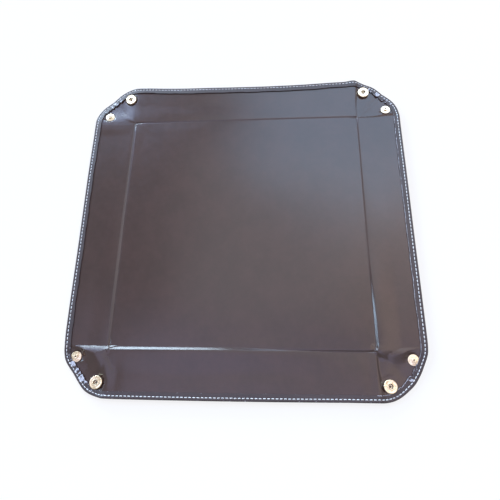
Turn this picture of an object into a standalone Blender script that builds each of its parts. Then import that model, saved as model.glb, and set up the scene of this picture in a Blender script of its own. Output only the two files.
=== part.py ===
"""Leather tray that lies almost flat and folds up into a square box held by four press studs.

The tray is drawn as a flat pattern, with its underside at z = 0 and the creases between
base and walls at x or y = +-CREASE. Every body has an empty on its joint's axis, and a
matrix that folds its share of the pattern into the rest pose. +X is right, +Y is back.

Each wall turns about its crease. The corners have no board inside: each is a flap with
the socket, hinged to the end of the front or back wall, and a flap with the stud, hinged
to the first one along the corner's diagonal. Snapped together, the two flaps stand out
from the corner as an ear.
"""

import math

import bmesh
import bpy
from mathutils import Matrix, Vector

MM = 0.001

# Driving sizes of the pattern
BASE_SIDE = 236 * MM
WALL_WIDTH = 42 * MM
CORNER_CUT_BACK = 21 * MM

# Sheets, and the film of glue between them
OUTER_LEATHER = 0.8 * MM
LINING = 0.7 * MM
BOARD = 1.2 * MM
GLUE_FILM = 0.15 * MM

# The edge that is turned over and sewn down
HEM_WIDTH = 6.5 * MM
HEM_ROUND = 1.2 * MM
HEM_CLEARANCE = 0.3 * MM

# Creases
HINGE_HEIGHT = 2.0 * MM
HINGE_CLEARANCE = 0.15 * MM
OPEN_CREASE_CLEARANCE = 0.7 * MM
GROOVE_SPARE = 0.5 * MM
LINING_LIP = 1.2 * MM
LINING_END_ROUND = 0.4 * MM

# Press studs
SNAP_FROM_EDGE = 13.1 * MM
SNAP_PAST_CREASE = 7.4 * MM
SEAT_CLEARANCE = 0.15 * MM
CLOSED_CLEARANCE = 0.15 * MM
PUNCHED_HOLE_RADIUS = 1.7 * MM

SOCKET_RADIUS = 5.7 * MM
SOCKET_HEIGHT = 2.4 * MM
SOCKET_FLOOR = 0.3 * MM
SOCKET_ROOF = 0.3 * MM
SOCKET_MOUTH_RADIUS = 2.2 * MM
SOCKET_CAVITY_RADIUS = 3.1 * MM
SOCKET_RIM_ROUND = 0.7 * MM
SOCKET_DISH = 0.2 * MM

CAP_RADIUS = 6.2 * MM
CAP_CROWN = 0.9 * MM
CAP_RIM = 0.45 * MM
CAP_POST_RADIUS = 1.45 * MM
CAP_POST_WALL = 0.35 * MM
CAP_ROLL_RADIUS = 1.9 * MM
CAP_ROLL_HEIGHT = 0.35 * MM

SPRING_WIRE_RADIUS = 0.25 * MM
SPRING_CLEARANCE = 0.15 * MM
SPRING_OPENING = math.radians(34)

STUD_RADIUS = 4.7 * MM
STUD_FLANGE = 0.6 * MM
STUD_FLANGE_ROUND = 0.25 * MM
STUD_NECK_RADIUS = 1.65 * MM
STUD_HEAD_RADIUS = 1.9 * MM
STUD_HEAD_HEIGHT = 1.55 * MM
STUD_HEAD_BAND = 0.4 * MM
STUD_SHELL = 0.3 * MM
STUD_TOP_HOLE_RADIUS = 0.75 * MM

RIVET_FLANGE_RADIUS = 4.5 * MM
RIVET_FLANGE = 0.5 * MM
RIVET_POST_RADIUS = 1.15 * MM
RIVET_BORE_RADIUS = 0.6 * MM

# How far the walls stand up at rest, and snapped
REST_FOLD = math.radians(3)
SNAPPED_FOLD = math.radians(90)

# Facets of round shapes
TURN_STEPS = 24
HEM_ROUND_STEPS = 3
CORNER_ROUND_STEPS = 6
SPRING_STEPS = 18
RIM_STEPS = 3
SMOOTH_ANGLE = math.radians(30)

# Cutters run past what they cut by OVERRUN, and points closer than WELD are one
OVERRUN = 2 * MM
WELD = 0.001 * MM

# Heights of the layers, up from the underside
LINING_FOOT = OUTER_LEATHER + GLUE_FILM
PANEL_TOP = LINING_FOOT + BOARD + GLUE_FILM + LINING
PANEL_HEM_TOP = PANEL_TOP + GLUE_FILM + OUTER_LEATHER
FLAP_TOP = LINING_FOOT + LINING
FLAP_HEM_TOP = FLAP_TOP + GLUE_FILM + OUTER_LEATHER
SNAP_SEAT = FLAP_TOP + SEAT_CLEARANCE
SOCKET_CEILING = SNAP_SEAT + SOCKET_HEIGHT - SOCKET_DISH - SOCKET_ROOF

# Places in the pattern
CREASE = BASE_SIDE / 2
OUTER_EDGE = CREASE + WALL_WIDTH
GROOVE_SLOPE = PANEL_TOP - HINGE_HEIGHT + GROOVE_SPARE
SOCKET_PLACE = (CREASE + SNAP_PAST_CREASE, OUTER_EDGE - SNAP_FROM_EDGE)

# Snapped shut, the press stud keeps the two linings CLOSED_GAP apart. The walls end short
# of the base's corners, so that their ends meet the ear's halves at that distance.
CLOSED_GAP = (
    SEAT_CLEARANCE + SOCKET_HEIGHT + CLOSED_CLEARANCE + STUD_FLANGE + SEAT_CLEARANCE
)
WALL_SHORTFALL = math.sqrt(2) * (FLAP_TOP + CLOSED_GAP / 2) - HINGE_HEIGHT
WALL_END = CREASE - WALL_SHORTFALL

# The corner is cut off at 45 degrees, and a round leads to the cut from each crease line
CORNER_REACH = math.sqrt(2) * WALL_WIDTH - CORNER_CUT_BACK
CORNER_ROUND = (math.sqrt(2) * CORNER_REACH - WALL_WIDTH) / math.tan(math.radians(22.5))

TO_RIGHT = Vector((1, 0, 0))
TO_BACK = Vector((0, 1, 0))

# The mirror image in the diagonal x = y, which turns a socket's place into a stud's
SWAP = Matrix(((0, 1, 0, 0), (1, 0, 0, 0), (0, 0, 1, 0), (0, 0, 0, 1)))


def clear_scene():
    """Removes whatever the file holds."""
    for old in list(bpy.data.objects):
        bpy.data.objects.remove(old, do_unlink=True)


def new_collection(name):
    """A collection of that name in the scene."""
    made = bpy.data.collections.new(name)
    bpy.context.scene.collection.children.link(made)
    return made


def new_material(name, colour, roughness, metallic=0.0):
    """A Principled material."""
    made = bpy.data.materials.new(name)
    made.use_nodes = True
    shader = made.node_tree.nodes["Principled BSDF"]
    shader.inputs["Base Color"].default_value = (*colour, 1)
    shader.inputs["Roughness"].default_value = roughness
    shader.inputs["Metallic"].default_value = metallic
    return made


def link_mesh(mesh, name, collection):
    """An object for that mesh, in that collection."""
    made = bpy.data.objects.new(name, mesh)
    collection.objects.link(made)
    return made


def finished(source, name):
    """Turns a construction object into its welded mesh, and removes the object."""
    bpy.context.view_layer.update()
    graph = bpy.context.evaluated_depsgraph_get()
    mesh = bpy.data.meshes.new_from_object(source.evaluated_get(graph))
    mesh.name = name
    mesh.transform(source.matrix_world)
    shape = bmesh.new()
    shape.from_mesh(mesh)
    bmesh.ops.remove_doubles(shape, verts=shape.verts, dist=WELD)
    shape.to_mesh(mesh)
    shape.free()
    bpy.data.objects.remove(source, do_unlink=True)
    return mesh


def prism(outline, low, high, name):
    """A solid with a flat outline of (x, y) points, from z = low to z = high."""
    flat = bpy.data.curves.new(name, "CURVE")
    flat.dimensions = "2D"
    flat.fill_mode = "BOTH"
    flat.extrude = (high - low) / 2
    spline = flat.splines.new("POLY")
    spline.points.add(len(outline) - 1)
    for point, (x, y) in zip(spline.points, outline):
        point.co = (x, y, 0, 1)
    spline.use_cyclic_u = True
    drawn = link_mesh(flat, name, workshop)
    drawn.location.z = (low + high) / 2
    return link_mesh(finished(drawn, name), name, workshop)


def along_x(section, low, high, name):
    """A solid with a section of (y, z) points, running from x = low to x = high."""
    solid = prism(section, low, high, name)
    solid.data.transform(Matrix(((0, 0, 1, 0), (1, 0, 0, 0), (0, 1, 0, 0), (0, 0, 0, 1))))
    return solid


def block(low, high, name):
    """A box between two opposite corners."""
    low, high = Vector(low), Vector(high)
    shape = bmesh.new()
    bmesh.ops.create_cube(shape, size=1)
    bmesh.ops.scale(shape, vec=high - low, verts=shape.verts)
    bmesh.ops.translate(shape, vec=(high + low) / 2, verts=shape.verts)
    mesh = bpy.data.meshes.new(name)
    shape.to_mesh(mesh)
    shape.free()
    return link_mesh(mesh, name, workshop)


def rod(radius, low, high, centre, name):
    """An upright round cutter."""
    shape = bmesh.new()
    bmesh.ops.create_cone(
        shape,
        cap_ends=True,
        segments=TURN_STEPS,
        radius1=radius,
        radius2=radius,
        depth=high - low,
    )
    bmesh.ops.translate(shape, vec=(*centre, (low + high) / 2), verts=shape.verts)
    mesh = bpy.data.meshes.new(name)
    shape.to_mesh(mesh)
    shape.free()
    return link_mesh(mesh, name, workshop)


def bevel_edges(solid, width, steps, chosen):
    """Rounds, or with one step chamfers, the edges that chosen(start, end) picks."""
    mesh = solid.data
    weights = mesh.attributes.new("bevel_weight_edge", "FLOAT", "EDGE")
    for edge in mesh.edges:
        start, end = (mesh.vertices[index].co for index in edge.vertices)
        weights.data[edge.index].value = 1.0 if chosen(start, end) else 0.0
    bevel = solid.modifiers.new("edge", "BEVEL")
    bevel.limit_method = "WEIGHT"
    bevel.width = width
    bevel.segments = steps
    bevel.use_clamp_overlap = False


def cut(solid, *cutters):
    """Takes the cutters out of the solid."""
    for cutter in cutters:
        cutter.hide_render = True
        cutter.display_type = "WIRE"
        boolean = solid.modifiers.new("cut", "BOOLEAN")
        boolean.operation = "DIFFERENCE"
        boolean.solver = "EXACT"
        boolean.object = cutter


def turned(profile, centre, name):
    """A solid of revolution about an upright axis, from (radius, z) points.

    The profile runs down the outer side, top to bottom, and comes back up inside.
    """
    edges = [(i, (i + 1) % len(profile)) for i in range(len(profile))]
    if profile[0][0] == 0 and profile[-1][0] == 0:
        edges.pop()
    mesh = bpy.data.meshes.new(name)
    mesh.from_pydata([(radius, 0, z) for radius, z in profile], edges, [])
    solid = link_mesh(mesh, name, workshop)
    screw = solid.modifiers.new("turn", "SCREW")
    screw.axis = "Z"
    screw.angle = 2 * math.pi
    screw.steps = TURN_STEPS
    screw.render_steps = TURN_STEPS
    screw.use_merge_vertices = True
    screw.merge_threshold = WELD
    solid.location = (*centre, 0)
    return finished(solid, name)


def arc(centre, radius, start, end, steps):
    """Points on an arc from one angle to another in degrees, both ends included."""
    angles = [math.radians(start + (end - start) * i / steps) for i in range(steps + 1)]
    return [
        (centre[0] + radius * math.cos(angle), centre[1] + radius * math.sin(angle))
        for angle in angles
    ]


def square(half):
    """The outline of a square about the origin."""
    return [(-half, -half), (half, -half), (half, half), (-half, half)]


def base_pieces():
    """Outer leather, board and lining of the base."""
    side = CREASE - HINGE_CLEARANCE
    board_side = side - LINING_LIP - GLUE_FILM
    outer = prism(square(side), 0, OUTER_LEATHER, "base_outer")
    board = prism(square(board_side), LINING_FOOT, LINING_FOOT + BOARD, "base_board")
    lining = block((-side, -side, LINING_FOOT), (side, side, PANEL_TOP), "base_lining")
    bevel_edges(lining, GROOVE_SLOPE, 1, lambda a, b: min(a.z, b.z) > HINGE_HEIGHT)
    pocket = prism(
        square(side - LINING_LIP), LINING_FOOT - OVERRUN, PANEL_TOP - LINING, "base_pocket"
    )
    cut(lining, pocket)
    return {
        "outer": finished(outer, "base_outer"),
        "board": finished(board, "base_board"),
        "lining": finished(lining, "base_lining"),
    }


def wall_outer_section():
    """The back wall's outer leather as (y, z), from its crease out to the edge and back.

    It lies flat below, and is turned over the edge into a hem on top.
    """
    foot = CREASE + HINGE_CLEARANCE
    inner = OUTER_EDGE - OUTER_LEATHER
    hem_start = OUTER_EDGE - HEM_WIDTH
    lower = (OUTER_EDGE - HEM_ROUND, HEM_ROUND)
    upper = (OUTER_EDGE - HEM_ROUND, PANEL_HEM_TOP - HEM_ROUND)
    return [
        (foot, 0),
        *arc(lower, HEM_ROUND, -90, 0, HEM_ROUND_STEPS),
        *arc(upper, HEM_ROUND, 0, 90, HEM_ROUND_STEPS),
        (hem_start, PANEL_HEM_TOP),
        (hem_start, PANEL_TOP + GLUE_FILM),
        (inner, PANEL_TOP + GLUE_FILM),
        (inner, OUTER_LEATHER),
        (foot, OUTER_LEATHER),
    ]


def wall_pieces():
    """Outer leather, board and lining of the back wall, which the other walls copy."""
    end = WALL_END - HINGE_CLEARANCE
    foot = CREASE + HINGE_CLEARANCE
    lining_edge = OUTER_EDGE - LINING_FOOT
    outer = along_x(wall_outer_section(), -end, end, "wall_outer")
    lining_section = [
        (foot, LINING_FOOT),
        (lining_edge, LINING_FOOT),
        (lining_edge, PANEL_TOP),
        (foot + GROOVE_SLOPE, PANEL_TOP),
        (foot, PANEL_TOP - GROOVE_SLOPE),
    ]
    lining = along_x(lining_section, -end, end, "wall_lining")

    def on_top_end(a, b):
        return min(a.z, b.z) > PANEL_TOP - WELD and abs(a.x - b.x) < WELD

    bevel_edges(lining, LINING_END_ROUND, 2, on_top_end)
    pocket = block(
        (LINING_LIP - end, foot + LINING_LIP, LINING_FOOT - OVERRUN),
        (end - LINING_LIP, lining_edge + OVERRUN, PANEL_TOP - LINING),
        "wall_pocket",
    )
    cut(lining, pocket)
    board_end = end - LINING_LIP - GLUE_FILM
    board = block(
        (-board_end, foot + LINING_LIP + GLUE_FILM, LINING_FOOT),
        (board_end, lining_edge, LINING_FOOT + BOARD),
        "wall_board",
    )
    return {
        "outer": finished(outer, "wall_outer"),
        "board": finished(board, "wall_board"),
        "lining": finished(lining, "wall_lining"),
    }


def corner_edge(inset, first_x, past_diagonal):
    """The edge of the back right socket flap as (x, y), moved inwards by inset.

    It runs right from first_x and round to the cut-off corner, and it ends past_diagonal
    beyond the middle of the cut.
    """
    back = OUTER_EDGE - inset
    radius = CORNER_ROUND - inset
    middle = CREASE + (CORNER_REACH - inset) / math.sqrt(2)
    step = past_diagonal / math.sqrt(2)
    return [
        (first_x, back),
        *arc((CREASE, back - radius), radius, 90, 45, CORNER_ROUND_STEPS),
        (middle + step, middle - step),
    ]


def flap_outline(inset, first_x):
    """The back right socket flap as (x, y): a triangle with its edge moved inwards."""
    foot = CREASE + HINGE_CLEARANCE
    edge = corner_edge(inset, first_x, -HINGE_CLEARANCE)
    return [*edge, (foot - math.sqrt(2) * HINGE_CLEARANCE, foot), (first_x, foot)]


def flap_cutter_outline(inset):
    """As flap_outline, but running past every side except the turned edge."""
    left = WALL_END - OVERRUN
    foot = CREASE - OVERRUN
    edge = corner_edge(inset, left, OVERRUN)
    return [*edge, (edge[-1][0], foot), (left, foot)]


def flap_pieces(clearance):
    """Outer leather and lining of the back right socket flap, that far from its wall."""
    left = WALL_END + clearance
    outer = prism(flap_outline(0, left), 0, FLAP_HEM_TOP, "flap_outer")
    edge_points = [Vector(point) for point in corner_edge(0, left, -HINGE_CLEARANCE)]

    def on_turned_edge(a, b):
        ends = (any((end.xy - point).length < WELD for point in edge_points) for end in (a, b))
        return all(ends) and abs(a.z - b.z) < WELD

    bevel_edges(outer, HEM_ROUND, HEM_ROUND_STEPS, on_turned_edge)
    pocket = prism(
        flap_cutter_outline(OUTER_LEATHER), OUTER_LEATHER, FLAP_TOP + GLUE_FILM, "flap_pocket"
    )
    opening = prism(
        flap_cutter_outline(HEM_WIDTH), LINING_FOOT, FLAP_HEM_TOP + OVERRUN, "flap_opening"
    )
    hole = rod(
        PUNCHED_HOLE_RADIUS, -OVERRUN, FLAP_HEM_TOP + OVERRUN, SOCKET_PLACE, "punched_hole"
    )
    # The hem is cut back round the socket, and as much round the stud that closes on it
    relief = rod(
        SOCKET_RADIUS + HEM_CLEARANCE, FLAP_TOP, FLAP_HEM_TOP + OVERRUN, SOCKET_PLACE, "relief"
    )
    cut(outer, pocket, opening, hole, relief)
    lining = prism(flap_outline(LINING_FOOT, left), LINING_FOOT, FLAP_TOP, "flap_lining")
    cut(lining, hole)
    return {
        "outer": finished(outer, "flap_outer"),
        "lining": finished(lining, "flap_lining"),
    }


def socket_profile():
    """The socket: a drawn ring with a rolled rim, a dished top and a hollow for its spring."""
    top = SNAP_SEAT + SOCKET_HEIGHT
    rim_centre = (SOCKET_RADIUS - SOCKET_RIM_ROUND, top - SOCKET_RIM_ROUND)
    hole = CAP_POST_RADIUS + SEAT_CLEARANCE
    return [
        (SOCKET_MOUTH_RADIUS, top - SOCKET_DISH),
        (SOCKET_CAVITY_RADIUS, top - SOCKET_DISH),
        *arc(rim_centre, SOCKET_RIM_ROUND, 90, 0, RIM_STEPS),
        (SOCKET_RADIUS, SNAP_SEAT + SOCKET_RIM_ROUND),
        (SOCKET_RADIUS - SOCKET_RIM_ROUND, SNAP_SEAT),
        (hole, SNAP_SEAT),
        (hole, SNAP_SEAT + SOCKET_FLOOR),
        (SOCKET_CAVITY_RADIUS, SNAP_SEAT + SOCKET_FLOOR),
        (SOCKET_CAVITY_RADIUS, SOCKET_CEILING),
        (SOCKET_MOUTH_RADIUS, SOCKET_CEILING),
    ]


def cap_profile():
    """The cap under the socket: a low dome with a hollow post, rolled over in the socket."""
    roll = SNAP_SEAT + SOCKET_FLOOR + SEAT_CLEARANCE
    bore = CAP_POST_RADIUS - CAP_POST_WALL
    rim = -SEAT_CLEARANCE - CAP_RIM
    angles = [math.radians(90 * i / RIM_STEPS) for i in range(RIM_STEPS)]
    crown = [
        (CAP_RADIUS * math.cos(angle), rim - (CAP_CROWN - CAP_RIM) * math.sin(angle))
        for angle in angles
    ]
    return [
        (bore, roll + CAP_ROLL_HEIGHT),
        (CAP_POST_RADIUS, roll + CAP_ROLL_HEIGHT),
        (CAP_ROLL_RADIUS, roll + CAP_ROLL_HEIGHT / 2),
        (CAP_ROLL_RADIUS, roll),
        (CAP_POST_RADIUS, roll),
        (CAP_POST_RADIUS, -SEAT_CLEARANCE),
        (CAP_RADIUS, -SEAT_CLEARANCE),
        *crown,
        (0, -SEAT_CLEARANCE - CAP_CROWN),
        (0, -SEAT_CLEARANCE),
        (bore, -SEAT_CLEARANCE),
    ]


def stud_profile():
    """The stud: a flange, and a hollow shell with a neck and a wider head."""
    flange_top = SNAP_SEAT + STUD_FLANGE
    head_top = flange_top + STUD_HEAD_HEIGHT
    flange_edge = (STUD_RADIUS - STUD_FLANGE_ROUND, flange_top - STUD_FLANGE_ROUND)
    bore = STUD_NECK_RADIUS - STUD_SHELL
    return [
        (STUD_TOP_HOLE_RADIUS, head_top),
        (STUD_HEAD_RADIUS - STUD_SHELL, head_top),
        (STUD_HEAD_RADIUS, head_top - STUD_SHELL),
        (STUD_HEAD_RADIUS, head_top - STUD_HEAD_BAND),
        (STUD_NECK_RADIUS, head_top - STUD_HEAD_BAND - STUD_SHELL),
        (STUD_NECK_RADIUS, flange_top),
        *arc(flange_edge, STUD_FLANGE_ROUND, 90, 0, RIM_STEPS),
        (STUD_RADIUS, SNAP_SEAT),
        (bore, SNAP_SEAT),
        (bore, head_top - STUD_SHELL),
        (STUD_TOP_HOLE_RADIUS, head_top - STUD_SHELL),
    ]


def rivet_profile():
    """The hollow rivet that holds the stud, with its flange under the leather."""
    stud_top = SNAP_SEAT + STUD_FLANGE + STUD_HEAD_HEIGHT
    foot = -SEAT_CLEARANCE - RIVET_FLANGE
    edge = (RIVET_FLANGE_RADIUS - RIVET_FLANGE / 2, foot + RIVET_FLANGE / 2)
    return [
        (RIVET_BORE_RADIUS, stud_top - STUD_SHELL - SEAT_CLEARANCE),
        (RIVET_POST_RADIUS, stud_top - STUD_SHELL - SEAT_CLEARANCE),
        (RIVET_POST_RADIUS, -SEAT_CLEARANCE),
        (RIVET_FLANGE_RADIUS - RIVET_FLANGE / 2, -SEAT_CLEARANCE),
        *arc(edge, RIVET_FLANGE / 2, 0, -90, RIM_STEPS),
        (RIVET_POST_RADIUS, foot),
        (RIVET_BORE_RADIUS, foot + RIVET_FLANGE / 2),
    ]


def socket_spring():
    """The open ring of wire under the socket's roof, which grips the stud behind its head."""
    radius = STUD_HEAD_RADIUS + SPRING_CLEARANCE + SPRING_WIRE_RADIUS
    height = SOCKET_CEILING - SEAT_CLEARANCE - SPRING_WIRE_RADIUS
    wire = bpy.data.curves.new("socket_spring", "CURVE")
    wire.dimensions = "3D"
    wire.bevel_depth = SPRING_WIRE_RADIUS
    wire.bevel_resolution = 1
    wire.use_fill_caps = True
    spline = wire.splines.new("POLY")
    spline.points.add(SPRING_STEPS)
    half_opening = math.degrees(SPRING_OPENING) / 2
    places = arc(SOCKET_PLACE, radius, half_opening, 360 - half_opening, SPRING_STEPS)
    for point, place in zip(spline.points, places):
        point.co = (*place, height, 1)
    return finished(link_mesh(wire, "socket_spring", workshop), "socket_spring")


def hinge_turn(point, axis, angle):
    """The matrix that turns by angle about an axis through a point."""
    place = Matrix.Translation(point)
    return place @ Matrix.Rotation(angle, 4, axis) @ place.inverted()


def wall_matrix(fold):
    """Folds the back wall's pattern up by an angle."""
    return hinge_turn(Vector((0, CREASE, HINGE_HEIGHT)), TO_RIGHT, fold)


def flap_fold(wall_fold):
    """How far a flap folds back from its wall while its edge stays on the diagonal."""
    lift = math.sin(wall_fold)
    return math.acos(math.cos(wall_fold) / math.hypot(1, lift)) - math.atan(lift)


def socket_flap_matrix(wall_fold):
    """Folds the pattern of the back right socket flap along with its wall."""
    hinge = hinge_turn(Vector((WALL_END, CREASE, 0)), TO_BACK, flap_fold(wall_fold))
    return wall_matrix(wall_fold) @ hinge


def diagonal_hinge():
    """Point, direction and travel of the hinge between socket flap and stud flap, at rest.

    Both at rest and snapped, the stud flap is the socket flap's mirror image in the plane
    x = y. Carried back to rest with the socket flap, the snapped mirror plane meets that
    plane in the hinge's line, and the stud flap turns by twice the angle between them.
    """
    plane = Vector((1, -1, 0)).normalized()
    corner = Vector((CREASE, CREASE, 0))
    back_to_rest = socket_flap_matrix(REST_FOLD) @ socket_flap_matrix(SNAPPED_FOLD).inverted()
    other = back_to_rest.to_3x3() @ plane
    direction = plane.cross(other).normalized()
    offsets = Vector((0, other.dot(back_to_rest @ corner), direction.dot(corner)))
    point = Matrix((plane, other, direction)).inverted() @ offsets
    return point, direction, 2 * plane.angle(other)


def transformed(mesh, matrix):
    """A copy of a mesh in a turned or mirrored place, facing outwards."""
    made = mesh.copy()
    made.transform(matrix)
    if matrix.determinant() < 0:
        made.flip_normals()
    return made


def add_node(mesh, name, material, parent, fold):
    """A sub-part: its mesh lies in the flat pattern, and fold brings it to rest."""
    mesh.materials.clear()
    mesh.materials.append(material)
    mesh.shade_smooth()
    mesh.set_sharp_from_angle(angle=SMOOTH_ANGLE)
    node = link_mesh(mesh, name, tray)
    node.parent = parent
    bpy.context.view_layer.update()
    node.matrix_world = fold


def add_hinge(name, parent, point, axis, ratio):
    """An empty on a joint's axis, with its own Z along it. Prints the joint's values.

    The ratio is the joint's turn for each degree that the walls fold.
    """
    empty = bpy.data.objects.new(name, None)
    empty.empty_display_size = HEM_WIDTH
    tray.objects.link(empty)
    empty.parent = parent
    bpy.context.view_layer.update()
    turn = axis.to_track_quat("Z", "Y").to_matrix().to_4x4()
    empty.matrix_world = Matrix.Translation(point) @ turn
    low = -math.degrees(REST_FOLD) * ratio
    high = math.degrees(SNAPPED_FOLD - REST_FOLD) * ratio
    where = ", ".join(f"{value:.6f}" for value in point)
    along = ", ".join(f"{value:.6f}" for value in axis)
    print(f"joint {name}: pos_m [{where}] axis [{along}]", end=" ")
    print(f"range_deg [{low:.4f}, {high:.4f}] ratio {ratio:.6f}")
    return empty


def build_base():
    """The base, which the walls hang on."""
    anchor = bpy.data.objects.new("base", None)
    tray.objects.link(anchor)
    for layer, mesh in base_pieces().items():
        add_node(mesh, f"base_{layer}", finishes[layer], anchor, Matrix.Identity(4))
    return anchor


def build_walls(anchor):
    """The four walls, each a quarter turn on from the last. Returns their hinges."""
    pieces = wall_pieces()
    hinges = {}
    for quarters, side in enumerate(("back", "left", "front", "right")):
        turn = Matrix.Rotation(quarters * math.pi / 2, 4, "Z")
        point = turn @ Vector((0, CREASE, HINGE_HEIGHT))
        axis = turn.to_3x3() @ TO_RIGHT
        hinges[side] = add_hinge(f"{side}_wall_fold", anchor, point, axis, 1)
        fold = turn @ wall_matrix(REST_FOLD)
        for layer, mesh in pieces.items():
            name = f"wall_{side}_{layer}"
            add_node(mesh.copy(), name, finishes[layer], hinges[side], fold)
    return hinges


def flap_meshes():
    """The meshes of the back right corner in the flat pattern, for each of its two flaps."""
    socket_flap = flap_pieces(HINGE_CLEARANCE)
    stud_flap = flap_pieces(OPEN_CREASE_CLEARANCE)
    stud_place = (SOCKET_PLACE[1], SOCKET_PLACE[0])
    return {
        "socket": {
            "flap_outer": socket_flap["outer"],
            "flap_lining": socket_flap["lining"],
            "ring": turned(socket_profile(), SOCKET_PLACE, "socket_ring"),
            "cap": turned(cap_profile(), SOCKET_PLACE, "socket_cap"),
            "spring": socket_spring(),
        },
        "stud": {
            "flap_outer": transformed(stud_flap["outer"], SWAP),
            "flap_lining": transformed(stud_flap["lining"], SWAP),
            "post": turned(stud_profile(), stud_place, "stud_post"),
            "rivet": turned(rivet_profile(), stud_place, "stud_rivet"),
        },
    }


def build_corner(meshes, hinges, depth, side):
    """One corner: the back right one, mirrored left to right or front to back as needed."""
    hand = Vector((1 if side == "right" else -1, 1 if depth == "back" else -1))
    mirror = Matrix.Diagonal((*hand, 1, 1))
    # A mirror image turns the other way about its axis
    sense = hand.x * hand.y
    travel = SNAPPED_FOLD - REST_FOLD
    socket_fold = socket_flap_matrix(REST_FOLD)
    wall = wall_matrix(REST_FOLD)
    socket_axis = wall.to_3x3() @ TO_BACK
    socket_ratio = (flap_fold(SNAPPED_FOLD) - flap_fold(REST_FOLD)) / travel
    socket_hinge = add_hinge(
        f"socket_flap_fold_{depth}_{side}",
        hinges[depth],
        mirror @ wall @ Vector((WALL_END, CREASE, 0)),
        sense * (mirror.to_3x3() @ socket_axis),
        socket_ratio,
    )
    stud_point, stud_axis, stud_travel = diagonal_hinge()
    stud_hinge = add_hinge(
        f"stud_flap_fold_{depth}_{side}",
        socket_hinge,
        mirror @ stud_point,
        sense * (mirror.to_3x3() @ stud_axis),
        stud_travel / travel,
    )
    for half, hinge, fold in (
        ("socket", socket_hinge, socket_fold),
        ("stud", stud_hinge, SWAP @ socket_fold @ SWAP),
    ):
        for piece, mesh in meshes[half].items():
            name = f"{half}_{piece}_{depth}_{side}"
            finish = finishes[piece.split("_")[-1]]
            add_node(transformed(mesh, mirror), name, finish, hinge, mirror @ fold @ mirror)


clear_scene()
tray = new_collection("leather_tray")
workshop = new_collection("cutters")
metal = new_material("pale_brass", (0.88, 0.78, 0.58), 0.25, 1.0)
finishes = {
    "outer": new_material("outer_leather", (0.050, 0.038, 0.040), 0.42),
    "lining": new_material("lining_leather", (0.070, 0.050, 0.052), 0.38),
    "board": new_material("greyboard", (0.33, 0.31, 0.28), 0.9),
    "ring": metal,
    "cap": metal,
    "post": metal,
    "rivet": metal,
    "spring": new_material("spring_steel", (0.55, 0.55, 0.56), 0.3, 1.0),
}
wall_hinges = build_walls(build_base())
corner = flap_meshes()
for front_or_back in ("front", "back"):
    for left_or_right in ("left", "right"):
        build_corner(corner, wall_hinges, front_or_back, left_or_right)
print(f"snapped gap {CLOSED_GAP / MM:.3f} mm, walls end {WALL_SHORTFALL / MM:.3f} mm short")
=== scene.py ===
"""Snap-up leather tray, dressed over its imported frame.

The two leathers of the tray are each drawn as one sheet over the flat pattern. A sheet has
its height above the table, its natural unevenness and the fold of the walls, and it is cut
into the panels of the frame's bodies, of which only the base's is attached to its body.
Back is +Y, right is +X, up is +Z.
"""
import logging
import math
from contextlib import contextmanager
from dataclasses import dataclass, replace
from enum import Enum, IntEnum
from typing import Callable, Iterator, Sequence

import bmesh
import bpy
import numpy as np
from mathutils import Matrix, Vector


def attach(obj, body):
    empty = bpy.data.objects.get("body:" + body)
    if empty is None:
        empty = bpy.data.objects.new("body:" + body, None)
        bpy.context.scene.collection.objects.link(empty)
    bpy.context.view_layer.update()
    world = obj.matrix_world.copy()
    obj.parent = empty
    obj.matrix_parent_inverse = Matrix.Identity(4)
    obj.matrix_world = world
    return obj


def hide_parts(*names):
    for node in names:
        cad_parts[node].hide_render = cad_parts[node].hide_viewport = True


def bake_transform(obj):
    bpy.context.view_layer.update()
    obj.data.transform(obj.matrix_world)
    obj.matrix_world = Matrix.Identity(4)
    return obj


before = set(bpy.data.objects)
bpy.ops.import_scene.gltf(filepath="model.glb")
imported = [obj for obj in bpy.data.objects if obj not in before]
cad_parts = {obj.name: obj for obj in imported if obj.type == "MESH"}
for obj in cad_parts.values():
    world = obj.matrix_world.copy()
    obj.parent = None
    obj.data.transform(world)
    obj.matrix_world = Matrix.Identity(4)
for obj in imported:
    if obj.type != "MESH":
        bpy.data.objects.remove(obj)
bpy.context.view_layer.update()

MM = 0.001
ROOT2 = math.sqrt(2)
WELD = 2e-6
NORMAL = "sheet_normal"
log = logging.getLogger("tray")

Array = np.ndarray
Colour = tuple[float, float, float]
Span = tuple[float, float]
Steps = tuple[Span, ...]
Profile = list[Span]


class Wall(Enum):
    """The four walls. The value counts quarter turns from the back wall."""

    BACK = 0
    LEFT = 1
    FRONT = 2
    RIGHT = 3

    @property
    def label(self) -> str:
        """The wall's name in the frame."""
        return self.name.lower()

    @property
    def has_sockets(self) -> bool:
        """Front and back walls carry the sockets at their ends."""
        return self in (Wall.BACK, Wall.FRONT)


class Corner(Enum):
    """The four corners. The value is the sign of x and of y there."""

    BACK_RIGHT = (1, 1)
    BACK_LEFT = (-1, 1)
    FRONT_LEFT = (-1, -1)
    FRONT_RIGHT = (1, -1)

    @property
    def label(self) -> str:
        """The corner's name in the frame."""
        return self.name.lower()


def ramp(value: Array, low: float, high: float) -> Array:
    """A smooth step from 0 at low to 1 at high."""
    share = np.clip((value - low) / (high - low), 0, 1)
    return share * share * (3 - 2 * share)


def above(value: Array, soft: Array) -> Array:
    """The value where it is above 0, rounded over soft on both sides of 0."""
    bend = (value + soft) ** 2 / (4 * soft)
    return np.where(abs(value) < soft, bend, np.maximum(value, 0))


def bank(value: Array, low: float | Array, high: float | Array, soft: float) -> Array:
    """A straight slope from 0 at low to 1 at high, rounded over soft at both ends."""
    share, soft = (value - low) / (high - low), soft / (high - low)
    return above(share, soft) - above(share - 1, soft)


def hump(value: Array, width: float) -> Array:
    """1 where the value is 0, fading over the width on both sides."""
    return np.exp(-((value / width) ** 2))


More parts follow.
